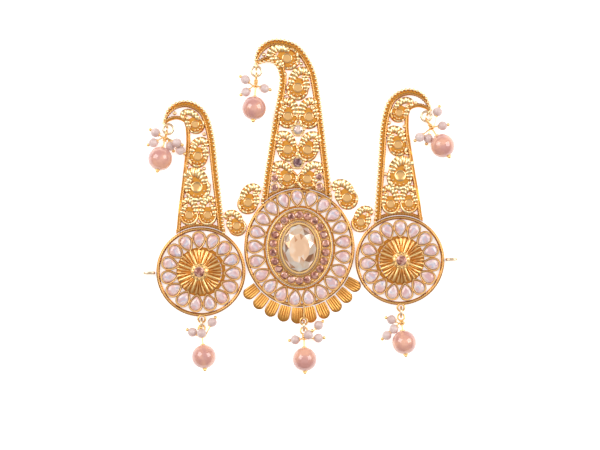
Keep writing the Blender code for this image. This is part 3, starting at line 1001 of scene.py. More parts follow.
def grain_tree() -> bpy.types.GeometryNodeTree:
    """The tree that lays round grains along a path.

    Returns:
        The tree.
    """
    inputs = (
        ("Spacing", "NodeSocketFloat", 1.5 * MM),
        ("Radius", "NodeSocketFloat", 0.6 * MM),
        ("Material", "NodeSocketMaterial", None),
    )
    grower = Grower("grains", inputs)
    curve = grower.node("GeometryNodeMeshToCurve", {}, {"Mesh": grower.inputs["Geometry"]})["Curve"]
    values = {"Curve": curve, "Length": grower.inputs["Spacing"]}
    points = grower.node("GeometryNodeCurveToPoints", {"mode": "LENGTH"}, values)["Points"]
    values = {"Segments": 10, "Rings": 6, "Radius": grower.inputs["Radius"]}
    grain = grower.node("GeometryNodeMeshUVSphere", {}, values)["Mesh"]
    values = {"Points": points, "Instance": grain}
    grains = grower.node("GeometryNodeInstanceOnPoints", {}, values)["Instances"]
    return grower.end(grains, True)


def rope_tree() -> bpy.types.GeometryNodeTree:
    """The tree that turns a path into twisted wire.

    Returns:
        The tree.
    """
    inputs = (
        ("Radius", "NodeSocketFloat", 0.5 * MM),
        ("Turns", "NodeSocketFloat", 20.0),
        ("Step", "NodeSocketFloat", 0.16 * MM),
        ("Material", "NodeSocketMaterial", None),
    )
    grower = Grower("rope", inputs)
    curve = grower.node("GeometryNodeMeshToCurve", {}, {"Mesh": grower.inputs["Geometry"]})["Curve"]
    values = {"Curve": curve, "Length": grower.inputs["Step"]}
    curve = grower.node("GeometryNodeResampleCurve", {"mode": "LENGTH"}, values)["Curve"]
    curve = grower.node("GeometryNodeSetCurveNormal", {"mode": "Z_UP"}, {"Curve": curve})["Curve"]
    share = grower.node("GeometryNodeSplineParameter")["Factor"]
    times = {"operation": "MULTIPLY"}
    turns = grower.node("ShaderNodeMath", times, {0: share, 1: grower.inputs["Turns"]})[0]
    angle = grower.node("ShaderNodeMath", times, {0: turns, 1: 2 * math.pi})[0]
    curve = grower.node("GeometryNodeSetCurveTilt", {}, {"Curve": curve, "Tilt": angle})["Curve"]
    inner = grower.node("ShaderNodeMath", times, {0: grower.inputs["Radius"], 1: 0.5})[0]
    values = {"Points": 3, "Inner Radius": inner, "Outer Radius": grower.inputs["Radius"]}
    strands = grower.node("GeometryNodeCurveStar", {}, values)["Curve"]
    values = {"Curve": curve, "Profile Curve": strands, "Fill Caps": True}
    return grower.end(grower.node("GeometryNodeCurveToMesh", {}, values)["Mesh"], True)


def setting_tree() -> bpy.types.GeometryNodeTree:
    """The tree that sets one shape on each point, turned to the point's outward direction.

    Returns:
        The tree.
    """
    inputs = (("Shape", "NodeSocketObject", None), ("Smooth", "NodeSocketBool", True))
    inputs += (("Material", "NodeSocketMaterial", None),)
    grower = Grower("settings", inputs)
    shape = grower.node("GeometryNodeObjectInfo", {}, {"Object": grower.inputs["Shape"]})["Geometry"]
    settings, values = {"data_type": "FLOAT_VECTOR"}, {"Name": "outward"}
    outward = grower.node("GeometryNodeInputNamedAttribute", settings, values)["Attribute"]
    settings = {"axis": "X", "pivot_axis": "Z"}
    turn = grower.node("FunctionNodeAlignRotationToVector", settings, {"Vector": outward})["Rotation"]
    values = {"Points": grower.inputs["Geometry"], "Instance": shape, "Rotation": turn}
    placed = grower.node("GeometryNodeInstanceOnPoints", {}, values)["Instances"]
    return grower.end(placed, grower.inputs["Smooth"])


class Trees:
    """The jewel's Geometry Nodes trees, and what they grow."""

    def __init__(self) -> None:
        """Builds the trees."""
        self.grain = grain_tree()
        self.rope = rope_tree()
        self.setting = setting_tree()

    def grow(
        self,
        name: str,
        tree: bpy.types.GeometryNodeTree,
        source: bpy.types.Mesh,
        finish: Finish,
        values: Values,
    ) -> bpy.types.Object:
        """Runs a tree over a mesh and keeps the result as a piece.

        Args:
            name: The piece's name.
            tree: The tree.
            source: The mesh it starts from.
            finish: The piece's finish.
            values: The tree's inputs by name.

        Returns:
            The piece.
        """
        made = bpy.data.objects.new(name, source)
        bpy.context.scene.collection.objects.link(made)
        growth = made.modifiers.new("growth", "NODES")
        growth.node_group = tree
        values = {**values, "Material": FINISHES[finish]}
        for item in tree.interface.items_tree:
            if item.in_out == "INPUT" and item.name in values:
                growth[item.identifier] = values[item.name]
        graph = bpy.context.evaluated_depsgraph_get()
        grown = bpy.data.meshes.new_from_object(
            made.evaluated_get(graph), preserve_all_data_layers=True, depsgraph=graph
        )
        made.modifiers.clear()
        made.data = grown
        grown.name = name
        return place(made, finish)

    def path(self, paths: Sequence[tuple[Sequence[Vector], bool]]) -> bpy.types.Mesh:
        """Paths as a mesh of edges.

        Args:
            paths: Each path's points, and whether its ends meet.

        Returns:
            The mesh.
        """
        points: list[Vector] = []
        edges: list[tuple[int, int]] = []
        for path, closed in paths:
            start = len(points)
            points += path
            edges += [(start + i, start + i + 1) for i in range(len(path) - 1)]
            if closed:
                edges.append((len(points) - 1, start))
        mesh = bpy.data.meshes.new("path")
        mesh.from_pydata(points, edges, [])
        return mesh

    def grains(
        self, name: str, paths: Sequence[tuple[Sequence[Vector], bool]], spacing: float, radius: float
    ) -> bpy.types.Object:
        """Rows of gilt grains.

        Args:
            name: The piece's name.
            paths: The rows.
            spacing: The distance between grains.
            radius: A grain's radius.

        Returns:
            The piece.
        """
        values = {"Spacing": spacing, "Radius": radius}
        return self.grow(name, self.grain, self.path(paths), GILT, values)

    def twisted(
        self, name: str, path: Sequence[Vector], closed: bool, radius: float, pitch: float
    ) -> bpy.types.Object:
        """A length of twisted gilt wire.

        Args:
            name: The piece's name.
            path: Its centreline.
            closed: Whether its ends meet.
            radius: Its radius.
            pitch: The distance between its ridges.

        Returns:
            The piece.
        """
        run = list(path) + ([path[0]] if closed else [])
        length = sum((b - a).length for a, b in zip(run, run[1:]))
        values = {"Radius": radius, "Turns": float(round(length / (3 * pitch)))}
        return self.grow(name, self.rope, self.path([(path, closed)]), WIRE_GILT, values)

    def settings(
        self,
        name: str,
        shape: bpy.types.Object,
        spots: Sequence[tuple[Vector, Vector]],
        finish: Gilt | Gem,
    ) -> bpy.types.Object:
        """One shape repeated on many points.

        Args:
            name: The piece's name.
            shape: The shape, which points outwards along +X. It is used up.
            spots: Each point with its outward direction.
            finish: The piece's finish.

        Returns:
            The piece.
        """
        mesh = bpy.data.meshes.new("spots")
        mesh.from_pydata([spot for spot, _ in spots], [], [])
        outward = mesh.attributes.new("outward", "FLOAT_VECTOR", "POINT")
        for row, (_, way) in zip(outward.data, spots):
            row.vector = way
        values = {"Shape": shape, "Smooth": not isinstance(finish, Gem)}
        made = self.grow(name, self.setting, mesh, finish, values)
        bpy.data.objects.remove(shape)
        return made


@dataclass(frozen=True)
class PearSetting:
    """The collet and pear stone that the medallions repeat, the point towards -X."""

    length: float = 7.0 * MM
    width: float = 5.3 * MM
    rim: float = 2.25 * MM
    corners: int = 30
    facets: int = 12

    def outline(self, share: float, count: int, z: float, shift: float = 0.0) -> list[Vector]:
        """The pear at a share of its size.

        Args:
            share: The share.
            count: Its corners.
            z: Its height.
            shift: How far along +X it is moved.

        Returns:
            The corners.
        """
        corners = []
        for i in range(count):
            turn = 2 * math.pi * i / count
            bulge = math.sin(turn) * abs(math.sin(turn / 2)) ** 0.7
            x = shift - 0.5 * self.length * share * math.cos(turn)
            corners.append(Vector((x, 0.6 * self.width * share * bulge, z)))
        return corners

    def collet(self) -> bpy.types.Object:
        """The gilt collet: a sloping wall, a rounded rim and the ledge inside it."""
        shape = Shape()
        rows = (
            (1.03, 0.2 * MM),
            (1.06, 0.8 * MM),
            (1.02, self.rim - 0.2 * MM),
            (0.96, self.rim),
            (0.86, self.rim - 0.05 * MM),
            (0.77, self.rim - 0.6 * MM),
        )
        lean = 0.02 * self.length
        shape.skin([self.outline(share, self.corners, z, lean * (1 - share)) for share, z in rows])
        return shape.piece("collet", WIRE_GILT, keep=False)

    def stone(self) -> bpy.types.Object:
        """The pear stone: girdle, two rows of crown facets and a table."""
        shape = Shape()
        base = self.rim - 0.48 * MM
        rows = ((0.77, base), (0.77, base + 0.15 * MM), (0.6, base + 0.66 * MM), (0.42, base + 0.85 * MM))
        shift = 0.03 * self.length
        sections = [self.outline(share, self.facets, z, shift) for share, z in rows]
        shape.skin(sections, tints=PEAR_TINTS)
        return shape.piece("pear_stone", OPAL, keep=False)


PEAR = PearSetting()


@dataclass(frozen=True)
class Drop:
    """How one drop lies: headings in degrees, shares of the stem, and the small pearls' places."""

    name: str
    ring_heading: float
    eye_heading: float
    pin_heading: float
    stem: float
    hub: float
    pearls: tuple[tuple[float, float, float], ...]
    upright: bool
    large_radius: float = 4.6 * MM
    small_radius: float = 1.8 * MM
    stem_length: float = 7.0 * MM
    pin_head: float = 0.7 * MM

    def build(self, edge: Vector, carrier: Shape) -> None:
        """Builds the drop, and adds its eyelet to the mesh that carries it.

        Args:
            edge: The carrier's edge.
            carrier: The carrier's mesh, whose points are in the jewel's frame.
        """
        way = heading(self.ring_heading)
        centre = level(edge + way * (EYELET_RADIUS - EYELET_WIRE), LINK_LEVEL)
        across = Vector((-way.y, way.x, 0))
        carrier.hoop(centre, across if self.upright else Vector((0, 0, 1)), EYELET_RADIUS, EYELET_WIRE)
        lift = 0.0 if self.upright else JUMP_RING_RADIUS + JUMP_RING_WIRE + GAP / 2 - LINK_LEVEL
        ring = centre + way * math.sqrt(JUMP_RING_RADIUS**2 - lift**2) + Vector((0, 0, lift))
        shape = Shape()
        axis = Vector((0, 0, 1)) if self.upright else across
        shape.hoop(ring, axis, JUMP_RING_RADIUS, 0.9 * JUMP_RING_WIRE, 40)
        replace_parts(shape.piece(f"{self.name}_ring_wire", PALE_METAL), f"{self.name}_jump_ring")
        eye = ring + heading(self.eye_heading) * JUMP_RING_RADIUS
        stem = self.stem * self.stem_length
        reach = PIN_EYE_RADIUS + stem + self.large_radius
        rise = self.large_radius - eye.z
        pearl = eye + heading(self.pin_heading) * math.sqrt(reach**2 - rise**2) + Vector((0, 0, rise))
        along = (pearl - eye).normalized()
        self.pin(eye, along, pearl)
        shape = Shape()
        shape.ball(pearl, self.large_radius, 48, 32)
        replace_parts(shape.piece(f"{self.name}_large_pearl", ROSE_PEARL), f"{self.name}_pearl")
        self.cluster(eye + along * (PIN_EYE_RADIUS + self.hub * stem), along)

    def pin(self, eye: Vector, along: Vector, pearl: Vector) -> None:
        """Builds the head pin with its eye, wrapped neck, cup and end ball.

        Args:
            eye: The middle of its eye.
            along: Its direction.
            pearl: The middle of the large pearl.
        """
        side = Vector((-along.y, along.x, 0)).normalized()
        shape = Shape()
        shape.hoop(eye, side if self.upright else along.cross(side), PIN_EYE_RADIUS, PIN_WIRE, 28)
        head = pearl + along * (self.large_radius + 0.6 * self.pin_head)
        shape.wire([eye + along * PIN_EYE_RADIUS, head], STEM_WIRE, 10)
        for i in range(3):
            neck = eye + along * (PIN_EYE_RADIUS + PIN_WIRE + 2.1 * i * STEM_WIRE)
            shape.hoop(neck, along, 1.7 * STEM_WIRE, STEM_WIRE, 18)
        shape.hoop(pearl - along * 0.985 * self.large_radius, along, 2.6 * STEM_WIRE, STEM_WIRE, 20)
        shape.ball(head, self.pin_head, 20, 14)
        shape.hoop(pearl + along * self.large_radius, along, 2.4 * STEM_WIRE, 0.8 * STEM_WIRE, 20)
        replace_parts(shape.piece(f"{self.name}_gilt_pin", WIRE_GILT), f"{self.name}_head_pin")

    def cluster(self, hub: Vector, along: Vector) -> None:
        """Builds the small pearls on their pins, each with a ball at its end.

        Args:
            hub: Where the pins meet on the stem.
            along: The stem's direction.
        """
        pearls = Shape()
        pins = Shape()
        pins.hoop(hub, along, HUB_RADIUS, STEM_WIRE, 20)
        for offset in self.pearls:
            centre = hub + Vector(offset) * 2 * self.small_radius
            out = (centre - hub).normalized()
            square_out = (out - along * out.dot(along)).normalized()
            pins.wire([hub + square_out * HUB_RADIUS, centre], 0.8 * STEM_WIRE, 8)
            flat = Vector((out.x, out.y, 0.15 * out.z)).normalized()
            end = centre + flat * (self.small_radius + 0.55 * self.pin_head)
            pins.ball(end, 0.95 * self.pin_head, 16, 12)
            pins.hoop(centre - out * 0.97 * self.small_radius, out, 2.0 * STEM_WIRE, 0.7 * STEM_WIRE, 16)
            pearls.ball(centre, self.small_radius, 28, 18)
        pins.piece(f"{self.name}_pearl_pins", WIRE_GILT)
        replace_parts(pearls.piece(f"{self.name}_small_pearls", SMALL_PEARL), f"{self.name}_cluster")


# Each small pearl's place from its drop's hub, in pearl diameters
PEARLS = {
    "left_top": ((-1.05, 0.6, 0), (-1.25, -0.5, 0), (0.55, -0.86, 0), (1.28, -0.53, 0.6), (1.6, -1.3, 0)),
    "centre_top": ((-1.1, 0.71, 0.05), (-1.04, -0.61, 0), (0.95, -0.23, 0)),
    "right_top": ((0.62, 1.75, 0), (1.14, 0.24, 0.2), (-1.31, -0.98, 0.4), (-0.37, -1.1, 0)),
    "left_bottom": ((1.05, 1.55, 0), (-1.05, 0.5, 0), (-0.05, 0.42, 0.52)),
    "centre_bottom": ((1.55, 1.45, 0), (0.45, 0.46, 0.48), (1.52, 0.08, 0), (-0.95, -0.1, 0)),
    "right_bottom": ((-1.1, 0.38, 0), (-0.85, -0.62, 0), (-1.6, -1.3, 0)),
}
# Each drop's name, headings of ring, eye and pin, shares of stem and hub, and whether its eyelet is upright
DROP_ROWS = (
    ("left_top", -56, -114, -102, 0.64, 0.12, True),
    ("centre_top", -90, -90, -93.7, 0.98, 0.39, True),
    ("right_top", -121, -75, -60, 0.785, 0.35, True),
    ("left_bottom", -90, -90, -84.8, 0.7, 0.39, False),
    ("centre_bottom", -90, -90, -88.4, 0.72, 0.36, False),
    ("right_bottom", -90, -90, -83.6, 0.56, 0.27, False),
)
DROPS = {row[0]: Drop(*row[:-1], PEARLS[row[0]], row[-1]) for row in DROP_ROWS}


@dataclass(frozen=True)
class Paisley:
    """One paisley: a milled bowl with granules, and two ribbed arms that curl into a scroll."""

    bowl: Vector
    scroll: Vector
    radius: float
    curl: Vector
    height: float = 2.1 * MM
    pitch: float = 0.84 * MM

    def spot(self, across: float, up: float) -> Vector:
        """A place on the paisley.

        Args:
            across: Towards the curl, in bowl radii.
            up: From bowl to scroll, as a share.

        Returns:
            The place in the plan.
        """
        way = self.scroll - self.bowl
        side = Vector((-way.y, way.x, 0)).normalized()
        if side.dot(self.curl) < 0:
            side.negate()
        return self.bowl + side * across * self.radius + way * up

    def build(self, metal: Shape, granules: list[Vector]) -> None:
        """Adds the paisley to a mesh.

        Args:
            metal: The mesh.
            granules: Where the granules' places are collected.
        """
        metal.turned([(r * self.radius, z * self.height) for r, z in BOWL], self.bowl)
        up = (self.scroll - self.bowl).normalized()
        facing = math.degrees(math.atan2(up.y, up.x))
        first = facing + RIM_START
        turns = [first + RIM_SWEEP * i / RIM_STEPS for i in range(RIM_STEPS + 1)]
        rim = [self.bowl + heading(turn) * 0.84 * self.radius for turn in turns]
        metal.feather(rim, 0.19 * self.radius, 0.98 * self.height, 0.75 * self.pitch, 0.35)
        inner = self.bowl + up * 0.1 * self.radius
        metal.turned([(r * self.radius, z * self.height) for r, z in DISH], inner)
        for turn in GRANULE_TURNS:
            granules.append(self.bowl + heading(facing + 180 + turn) * GRANULE_PLACE * self.radius)
        for arm, width in (LONG_ARM, SHORT_ARM):
            path = smooth([self.spot(a, b) for a, b in arm], self.pitch / 4)
            metal.feather(path, width * self.radius, 0.97 * self.height, self.pitch)
        metal.ball(level(self.spot(0.16, 0.72), 0.62 * self.height), 0.17 * self.radius, 14, 10)


@dataclass(frozen=True)
class PlumePlan:
    """A plume's plan: rows of place across, place up and half width from foot to hook, as shares."""

    rows: tuple[tuple[float, float, float], ...]
    height: float
    reach: float
    half_width: float
    ring: Oval

    @property
    def spine(self) -> list[Vector]:
        """The spine's points, with the half width as their third value."""
        top, high, wide = self.ring.half_height, self.height, self.half_width
        return [Vector((a * self.reach, top + b * high, c * wide)) for a, b, c in self.rows]

    def at(self, along: float, across: float) -> tuple[Vector, float]:
        """A place on the plume.

        Args:
            along: The share of the way along the spine.
            across: The share of the half width towards the outer edge.

        Returns:
            The place and the half width there.
        """
        spine = self.spine
        steps = [(b.xy - a.xy).length for a, b in zip(spine, spine[1:])]
        left = along * sum(steps)
        index = 0
        while index < len(steps) - 1 and left > steps[index]:
            left -= steps[index]
            index += 1
        point = spine[index].lerp(spine[index + 1], left / steps[index])
        way = (spine[index + 1].xy - spine[index].xy).normalized()
        shift = across * point.z
        return Vector((point.x + way.y * shift, point.y - way.x * shift, 0)), point.z

    def edge(self, side: Edge, inset: float, step: float = 0.5 * MM) -> list[Vector]:
        """A path along one edge, from the ring to the hook's end.

        Args:
            side: The edge.
            inset: How far inside the edge it runs.
            step: About how far apart its points are.

        Returns:
            The points.
        """
        spine = self.spine
        x = spine[0].x + side.value * (self.half_width - inset)
        angle = math.degrees(math.acos(x / (self.ring.half_width + GAP)))
        points = [self.ring.point(angle, GAP)]
        for i in range(1, len(spine)):
            way = (spine[min(i + 1, len(spine) - 1)].xy - spine[i - 1].xy).normalized()
            across = Vector((way.y, -way.x, 0)) * side.value
            wide = spine[i].z
            points.append(level(spine[i], 0) + across * (wide - min(inset, 0.72 * wide)))
        return smooth(points, step)

    def foot(self, inset: float, offset: float, count: int = 28) -> list[Vector]:
        """A path along the ring under the plume.

        Args:
            inset: How far inside the plume's edges it ends.
            offset: How far outside the ring it runs.
            count: Its steps.

        Returns:
            The points, from left to right.
        """
        x = self.rows[0][0] * self.reach
        reach = self.ring.half_width + offset
        left = math.degrees(math.acos((x - self.half_width + inset) / reach))
        right = math.degrees(math.acos((x + self.half_width - inset) / reach))
        return [self.ring.point(left + (right - left) * i / count, offset) for i in range(count + 1)]

    def tip(self) -> Vector:
        """The end of the hook."""
        return level(self.spine[-1], 0)


@dataclass(frozen=True)
class Plume:
    """A plume's metalwork: pierced frame, rope and grain borders, and paisleys."""

    name: str
    plan: PlumePlan
    motifs: tuple[tuple[float, float, float, float, float], ...]
    grains: tuple[tuple[float, float], ...]
    grain_edges: tuple[Edge, ...]
    matrix: Matrix
    wide: float = 2.8 * MM
    thin: float = 1.6 * MM
    base_bar: float = 1.4 * MM
    thickness: float = 1.3 * MM
    bed: float = 1.0 * MM
    fill: float = 1.1
    lip: float = 0.5 * MM
    rope: float = 0.56 * MM
    grain: float = 0.68 * MM
    grain_spacing: float = 1.52 * MM
    rope_pitch: float = 0.95 * MM
    grain_lift: float = 0.2 * MM
    loose_grain: float = 0.75 * MM
    loose_level: float = 1.2 * MM

    def build(self, trees: Trees) -> Shape:
        """Builds the borders and returns the frame's mesh, for the eyelet and the seats to be added.

        Args:
            trees: The trees that grow rope and grains.

        Returns:
            The mesh of the frame and paisleys, whose points are in the jewel's frame.
        """
        metal = Shape(self.matrix)
        rows = []
        for side in Edge:
            beaded = side in self.grain_edges
            width = self.wide if beaded else self.thin
            outer = self.plan.edge(side, 0.0)
            inner = self.plan.edge(side, width)
            count = min(len(outer), len(inner))
            stretched = [outer[round(i * (len(outer) - 1) / (count - 1))] for i in range(count)]
            squeezed = [inner[round(i * (len(inner) - 1) / (count - 1))] for i in range(count)]
            lip = self.lip if beaded else 0.0
            edge = [a + (b - a).normalized() * lip for a, b in zip(stretched, squeezed)]
            metal.ribbon(edge, squeezed, 0.0, self.bed)
            inset = width - self.rope
            z = self.thickness + 0.2 * self.rope
            path = [self.matrix @ level(p, z) for p in self.plan.edge(side, inset)]
            trees.twisted(f"{self.name}_rope_{side.name.lower()}", path, False, self.rope, self.rope_pitch)
            if beaded:
                path = self.plan.edge(side, 0.85 * self.grain)
                z = self.thickness + self.grain_lift
                rows.append(([self.matrix @ level(p, z) for p in path], False))
        metal.ribbon(self.plan.foot(0, GAP), self.plan.foot(0, GAP + self.base_bar), 0.0, self.thickness)
        foot = self.plan.foot(self.rope, GAP + 0.5 * self.base_bar)
        path = [self.matrix @ level(p, self.thickness) for p in foot]
        trees.twisted(f"{self.name}_rope_foot", path, False, self.rope, self.rope_pitch)
        trees.grains(f"{self.name}_grains", rows, self.grain_spacing, self.grain)
        granules: list[Vector] = []
        for along, across, scroll_along, scroll_across, size in self.motifs:
            bowl, half = self.plan.at(along, across)
            scroll, _ = self.plan.at(scroll_along, scroll_across)
            outward = self.plan.at(along, across + 1)[0] - bowl
            curl = outward if scroll_across > across else -outward
            Paisley(bowl, scroll, self.fill * size * half, curl).build(metal, granules)
        for spot in granules:
            metal.ball(level(spot, GRANULE_LEVEL), GRANULE_RADIUS, 10, 8)
        for along, across in self.grains:
            spot, _ = self.plan.at(along, across)
            metal.ball(level(spot, self.loose_level), self.loose_grain, 16, 12)
        return metal

    def finish(self, metal: Shape) -> None:
        """Keeps the frame as a piece that stands for the plume's solid."""
        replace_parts(metal.piece(f"{self.name}_pierced_work", GILT), self.name)


CENTRE_PLAN = (
    (-0.065, 0.0, 1.0),
    (-0.05, 0.074, 0.937),
    (-0.044, 0.208, 0.859),
    (-0.031, 0.4, 0.75),
    (-0.016, 0.569, 0.641),
    (-0.016, 0.676, 0.568),
    (-0.044, 0.756, 0.521),
    (-0.137, 0.83, 0.479),
    (-0.265, 0.883, 0.451),
    (-0.462, 0.914, 0.394),
    (-0.647, 0.92, 0.344),
    (-0.817, 0.9, 0.268),
    (-0.937, 0.866, 0.155),
    (-1.0, 0.835, 0.05),
)
SIDE_PLAN = (
    (0.02, 0.0, 1.0),
    (0.033, 0.138, 0.908),
    (0.051, 0.308, 0.8),
    (0.066, 0.486, 0.692),
    (0.075, 0.68, 0.59),
    (-0.018, 0.847, 0.508),
    (-0.158, 0.896, 0.486),
    (-0.37, 0.924, 0.447),
    (-0.594, 0.923, 0.376),
    (-0.782, 0.901, 0.273),
    (-0.925, 0.862, 0.143),
    (-1.0, 0.83, 0.053),
)
CENTRE_MOTIFS = (
    (0.77, -0.05, 0.885, -0.1, 0.66),
    (0.58, -0.06, 0.67, 0.4, 0.52),
    (0.413, -0.42, 0.507, -0.52, 0.4),
    (0.413, 0.42, 0.507, 0.52, 0.4),
    (0.222, -0.32, 0.31, -0.64, 0.34),
    (0.222, 0.32, 0.31, 0.64, 0.34),
    (0.057, -0.28, 0.135, -0.66, 0.28),
    (0.057, 0.28, 0.135, 0.66, 0.28),
)
SIDE_MOTIFS = (
    (0.69, -0.16, 0.822, -0.22, 0.64),
    (0.47, -0.2, 0.578, 0.14, 0.6),
    (0.26, -0.18, 0.366, -0.55, 0.62),
    (0.075, -0.49, 0.18, -0.62, 0.38),
    (0.075, 0.3, 0.188, 0.42, 0.38),
)
CENTRE_GRAINS = ((0.93, 0.02), (0.714, 0.44), (0.689, -0.62), (0.546, -0.65), (0.003, -0.4), (0.028, 0.5))
LEFT_GRAINS = ((0.9, -0.11), (0.619, 0.35), (0.521, 0.35), (0.414, -0.81), (0.393, 0.19), (0.025, -0.13))
LEFT_GRAINS += ((0.308, -0.73), (0.281, 0.43))
RIGHT_GRAINS = ((0.885, -0.49), (0.619, 0.45), (0.524, 0.41), (0.609, -0.67), (0.416, -0.69))
RIGHT_GRAINS += ((0.028, -0.05), (0.283, 0.56))
SIDE_GRAINS = {Side.LEFT: LEFT_GRAINS, Side.RIGHT: RIGHT_GRAINS}
STONE_SEATS = {"plume_stone_upper": (0.343, 0.0), "plume_stone_lower": (0.153, 0.0)}
CORNER_SEATS = ((0.055, -0.67), (0.0, -0.62), (0.075, 0.66), (0.02, 0.66))


def claw_seat(metal: Shape, centre: Vector, radius: float, top: float, claws: int = 6) -> None:
    """Adds a small round collet with grain claws.

    Args:
        metal: The mesh it is added to.
        centre: Its centre in the plan.
        radius: Its radius.
        top: The height of its rim.
        claws: Its number of grains.
    """
    rows = ((radius, 0.2 * MM), (radius, top - 0.1 * MM), (0.9 * radius, top), (0.75 * radius, top))
    metal.turned(rows, centre)
    for i in range(claws):
        metal.ball(level(centre + heading(360 * i / claws) * 0.9 * radius, top), 0.2 * radius, 10, 8)


@dataclass(frozen=True)
class CentreMedallion:
    """The oval medallion: rope ring, pear stones, halo, bezel and the large stone."""

    ring: Oval = Oval(21.2 * MM, 22.6 * MM)
    ring_band: float = 1.3 * MM
    ring_top: float = 1.5 * MM
    stone: Oval = Oval(6.5 * MM, 9.0 * MM)
    stone_base: float = 1.3 * MM
    stone_height: float = 4.6 * MM
    bezel_wall: float = 0.6 * MM
    bezel_height: float = 4.0 * MM
    halo_width: float = 4.9 * MM
    halo_floor: float = 1.6 * MM
    halo_stones: int = 22
    halo_stone: float = 1.6 * MM
    pears: int = 21
    pear_start: float = 92.8
    hoop_band: float = 0.9 * MM
    arm_across: float = 1.7 * MM
    arm_length: float = 4.5 * MM
    rope: float = 0.62 * MM
    rope_pitch: float = 1.0 * MM
    halo_rope: float = 0.46 * MM
    halo_rope_pitch: float = 0.8 * MM
    halo_rope_level: float = 2.15 * MM
    halo_claw: float = 0.36 * MM
    halo_claw_level: float = 2.1 * MM
    bezel_rope: float = 0.4 * MM
    bezel_rope_pitch: float = 0.75 * MM
    bezel_rope_level: float = 2.7 * MM
    stone_corners: int = 12

    @property
    def halo_inner(self) -> Oval:
        """The halo's inner edge."""
        out = self.bezel_wall + 2 * GAP
        return Oval(self.stone.half_width + out, self.stone.half_height + out)

    @property
    def hole(self) -> Oval:
        """The edge of the medallion's hole, which the halo sits in."""
        out = self.halo_width + GAP
        return Oval(self.halo_inner.half_width + out, self.halo_inner.half_height + out)

    def build(self, trees: Trees) -> None:
        """Builds the medallion.

        Args:
            trees: The trees that grow rope, grains and settings.
        """
        self.build_ring(trees)
        self.build_halo(trees)
        self.build_bezel(trees)
        self.build_stone()

    def build_ring(self, trees: Trees) -> None:
        """Builds the rope ring, the hoop, the pear settings and the arm of the lower drop."""
        metal = Shape()
        metal.band(self.ring.path(160), self.ring.path(160, -self.ring_band), self.ring_top)
        metal.strip(self.hole.path(128, self.hoop_band), self.hole.path(128), HOOP_TOP)
        arm = [Vector((self.arm_across, y, LINK_LEVEL)) for y in (0.65 * MM - self.ring.half_height, 0)]
        arm[1].y = -self.ring.half_height - self.arm_length
        metal.wire(arm, EYELET_WIRE, 10)
        DROPS["centre_bottom"].build(arm[1], metal)
        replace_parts(metal.piece("centre_ring_metal", WIRE_GILT), "centre_medallion")
        path = self.ring.path(220, -0.5 * self.ring_band, self.ring_top)
        trees.twisted("centre_ring_rope", path, True, self.rope, self.rope_pitch)
        spots = []
        for i in range(self.pears):
            angle = self.pear_start - 360 * i / self.pears
            offset = PEAR.length / 2 + 0.2 * self.hoop_band
            spots.append((self.hole.point(angle, offset), self.hole.normal(angle)))
        trees.settings("centre_collets", PEAR.collet(), spots, WIRE_GILT)
        trees.settings("centre_pear_stones", PEAR.stone(), spots, OPAL)

    def build_halo(self, trees: Trees) -> None:
        """Builds the channel of small stones with a rope at each side and grains between the stones."""
        inner, width = self.halo_inner, self.halo_width
        metal = Shape()
        sections = []
        for i in range(120):
            angle = 3 * i
            sections.append([level(inner.point(angle, share * width), z * MM) for share, z in CHANNEL])
        metal.skin(sections, True)
        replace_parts(metal.piece("halo_channel", SHADED_GILT), "centre_halo")
        for label, share in (("inner", 0.07), ("outer", 0.93)):
            path = inner.path(160, share * width, self.halo_rope_level)
            trees.twisted(f"halo_rope_{label}", path, True, self.halo_rope, self.halo_rope_pitch)
        stones = Shape()
        claws = Shape()
        for i in range(self.halo_stones):
            angle = 90 + 360 * i / self.halo_stones
            centre = inner.point(angle, 0.5 * width)
            stones.brilliant(centre, self.halo_stone, self.halo_floor + 0.2 * MM, ROSE_TINTS, angle)
            between = 90 + 360 * (i + 0.5) / self.halo_stones
            for share in (0.24, 0.76):
                claw = level(inner.point(between, share * width), self.halo_claw_level)
                claws.ball(claw, self.halo_claw, 12, 8)
        stones.piece("halo_stones", ROSE_STONE)
        claws.piece("halo_claws", GILT)

    def build_bezel(self, trees: Trees) -> None:
        """Builds the bezel's cup and the rope on its rim."""
        metal = Shape()
        rows = (
            (self.bezel_wall + GAP, 0.0),
            (self.bezel_wall + GAP, self.bezel_height - 0.4 * MM),
            (0.7 * self.bezel_wall + GAP, self.bezel_height),
            (0.5 * GAP, self.bezel_height),
            (0.3 * GAP, 1.0 * MM),
        )
        metal.skin([self.stone.path(96, offset, z) for offset, z in rows])
        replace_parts(metal.piece("bezel_cup", WIRE_GILT), "centre_bezel")
        path = self.stone.path(140, self.bezel_wall + 0.1 * MM, self.bezel_rope_level)
        trees.twisted("bezel_rope", path, True, self.bezel_rope, self.bezel_rope_pitch)

    def build_stone(self) -> None:
        """Builds the oval stone, with its pavilion's facets seen through the table painted as facet tints:
        painted reflections, light and dark.
        """
        shape = Shape()
        count = self.stone_corners
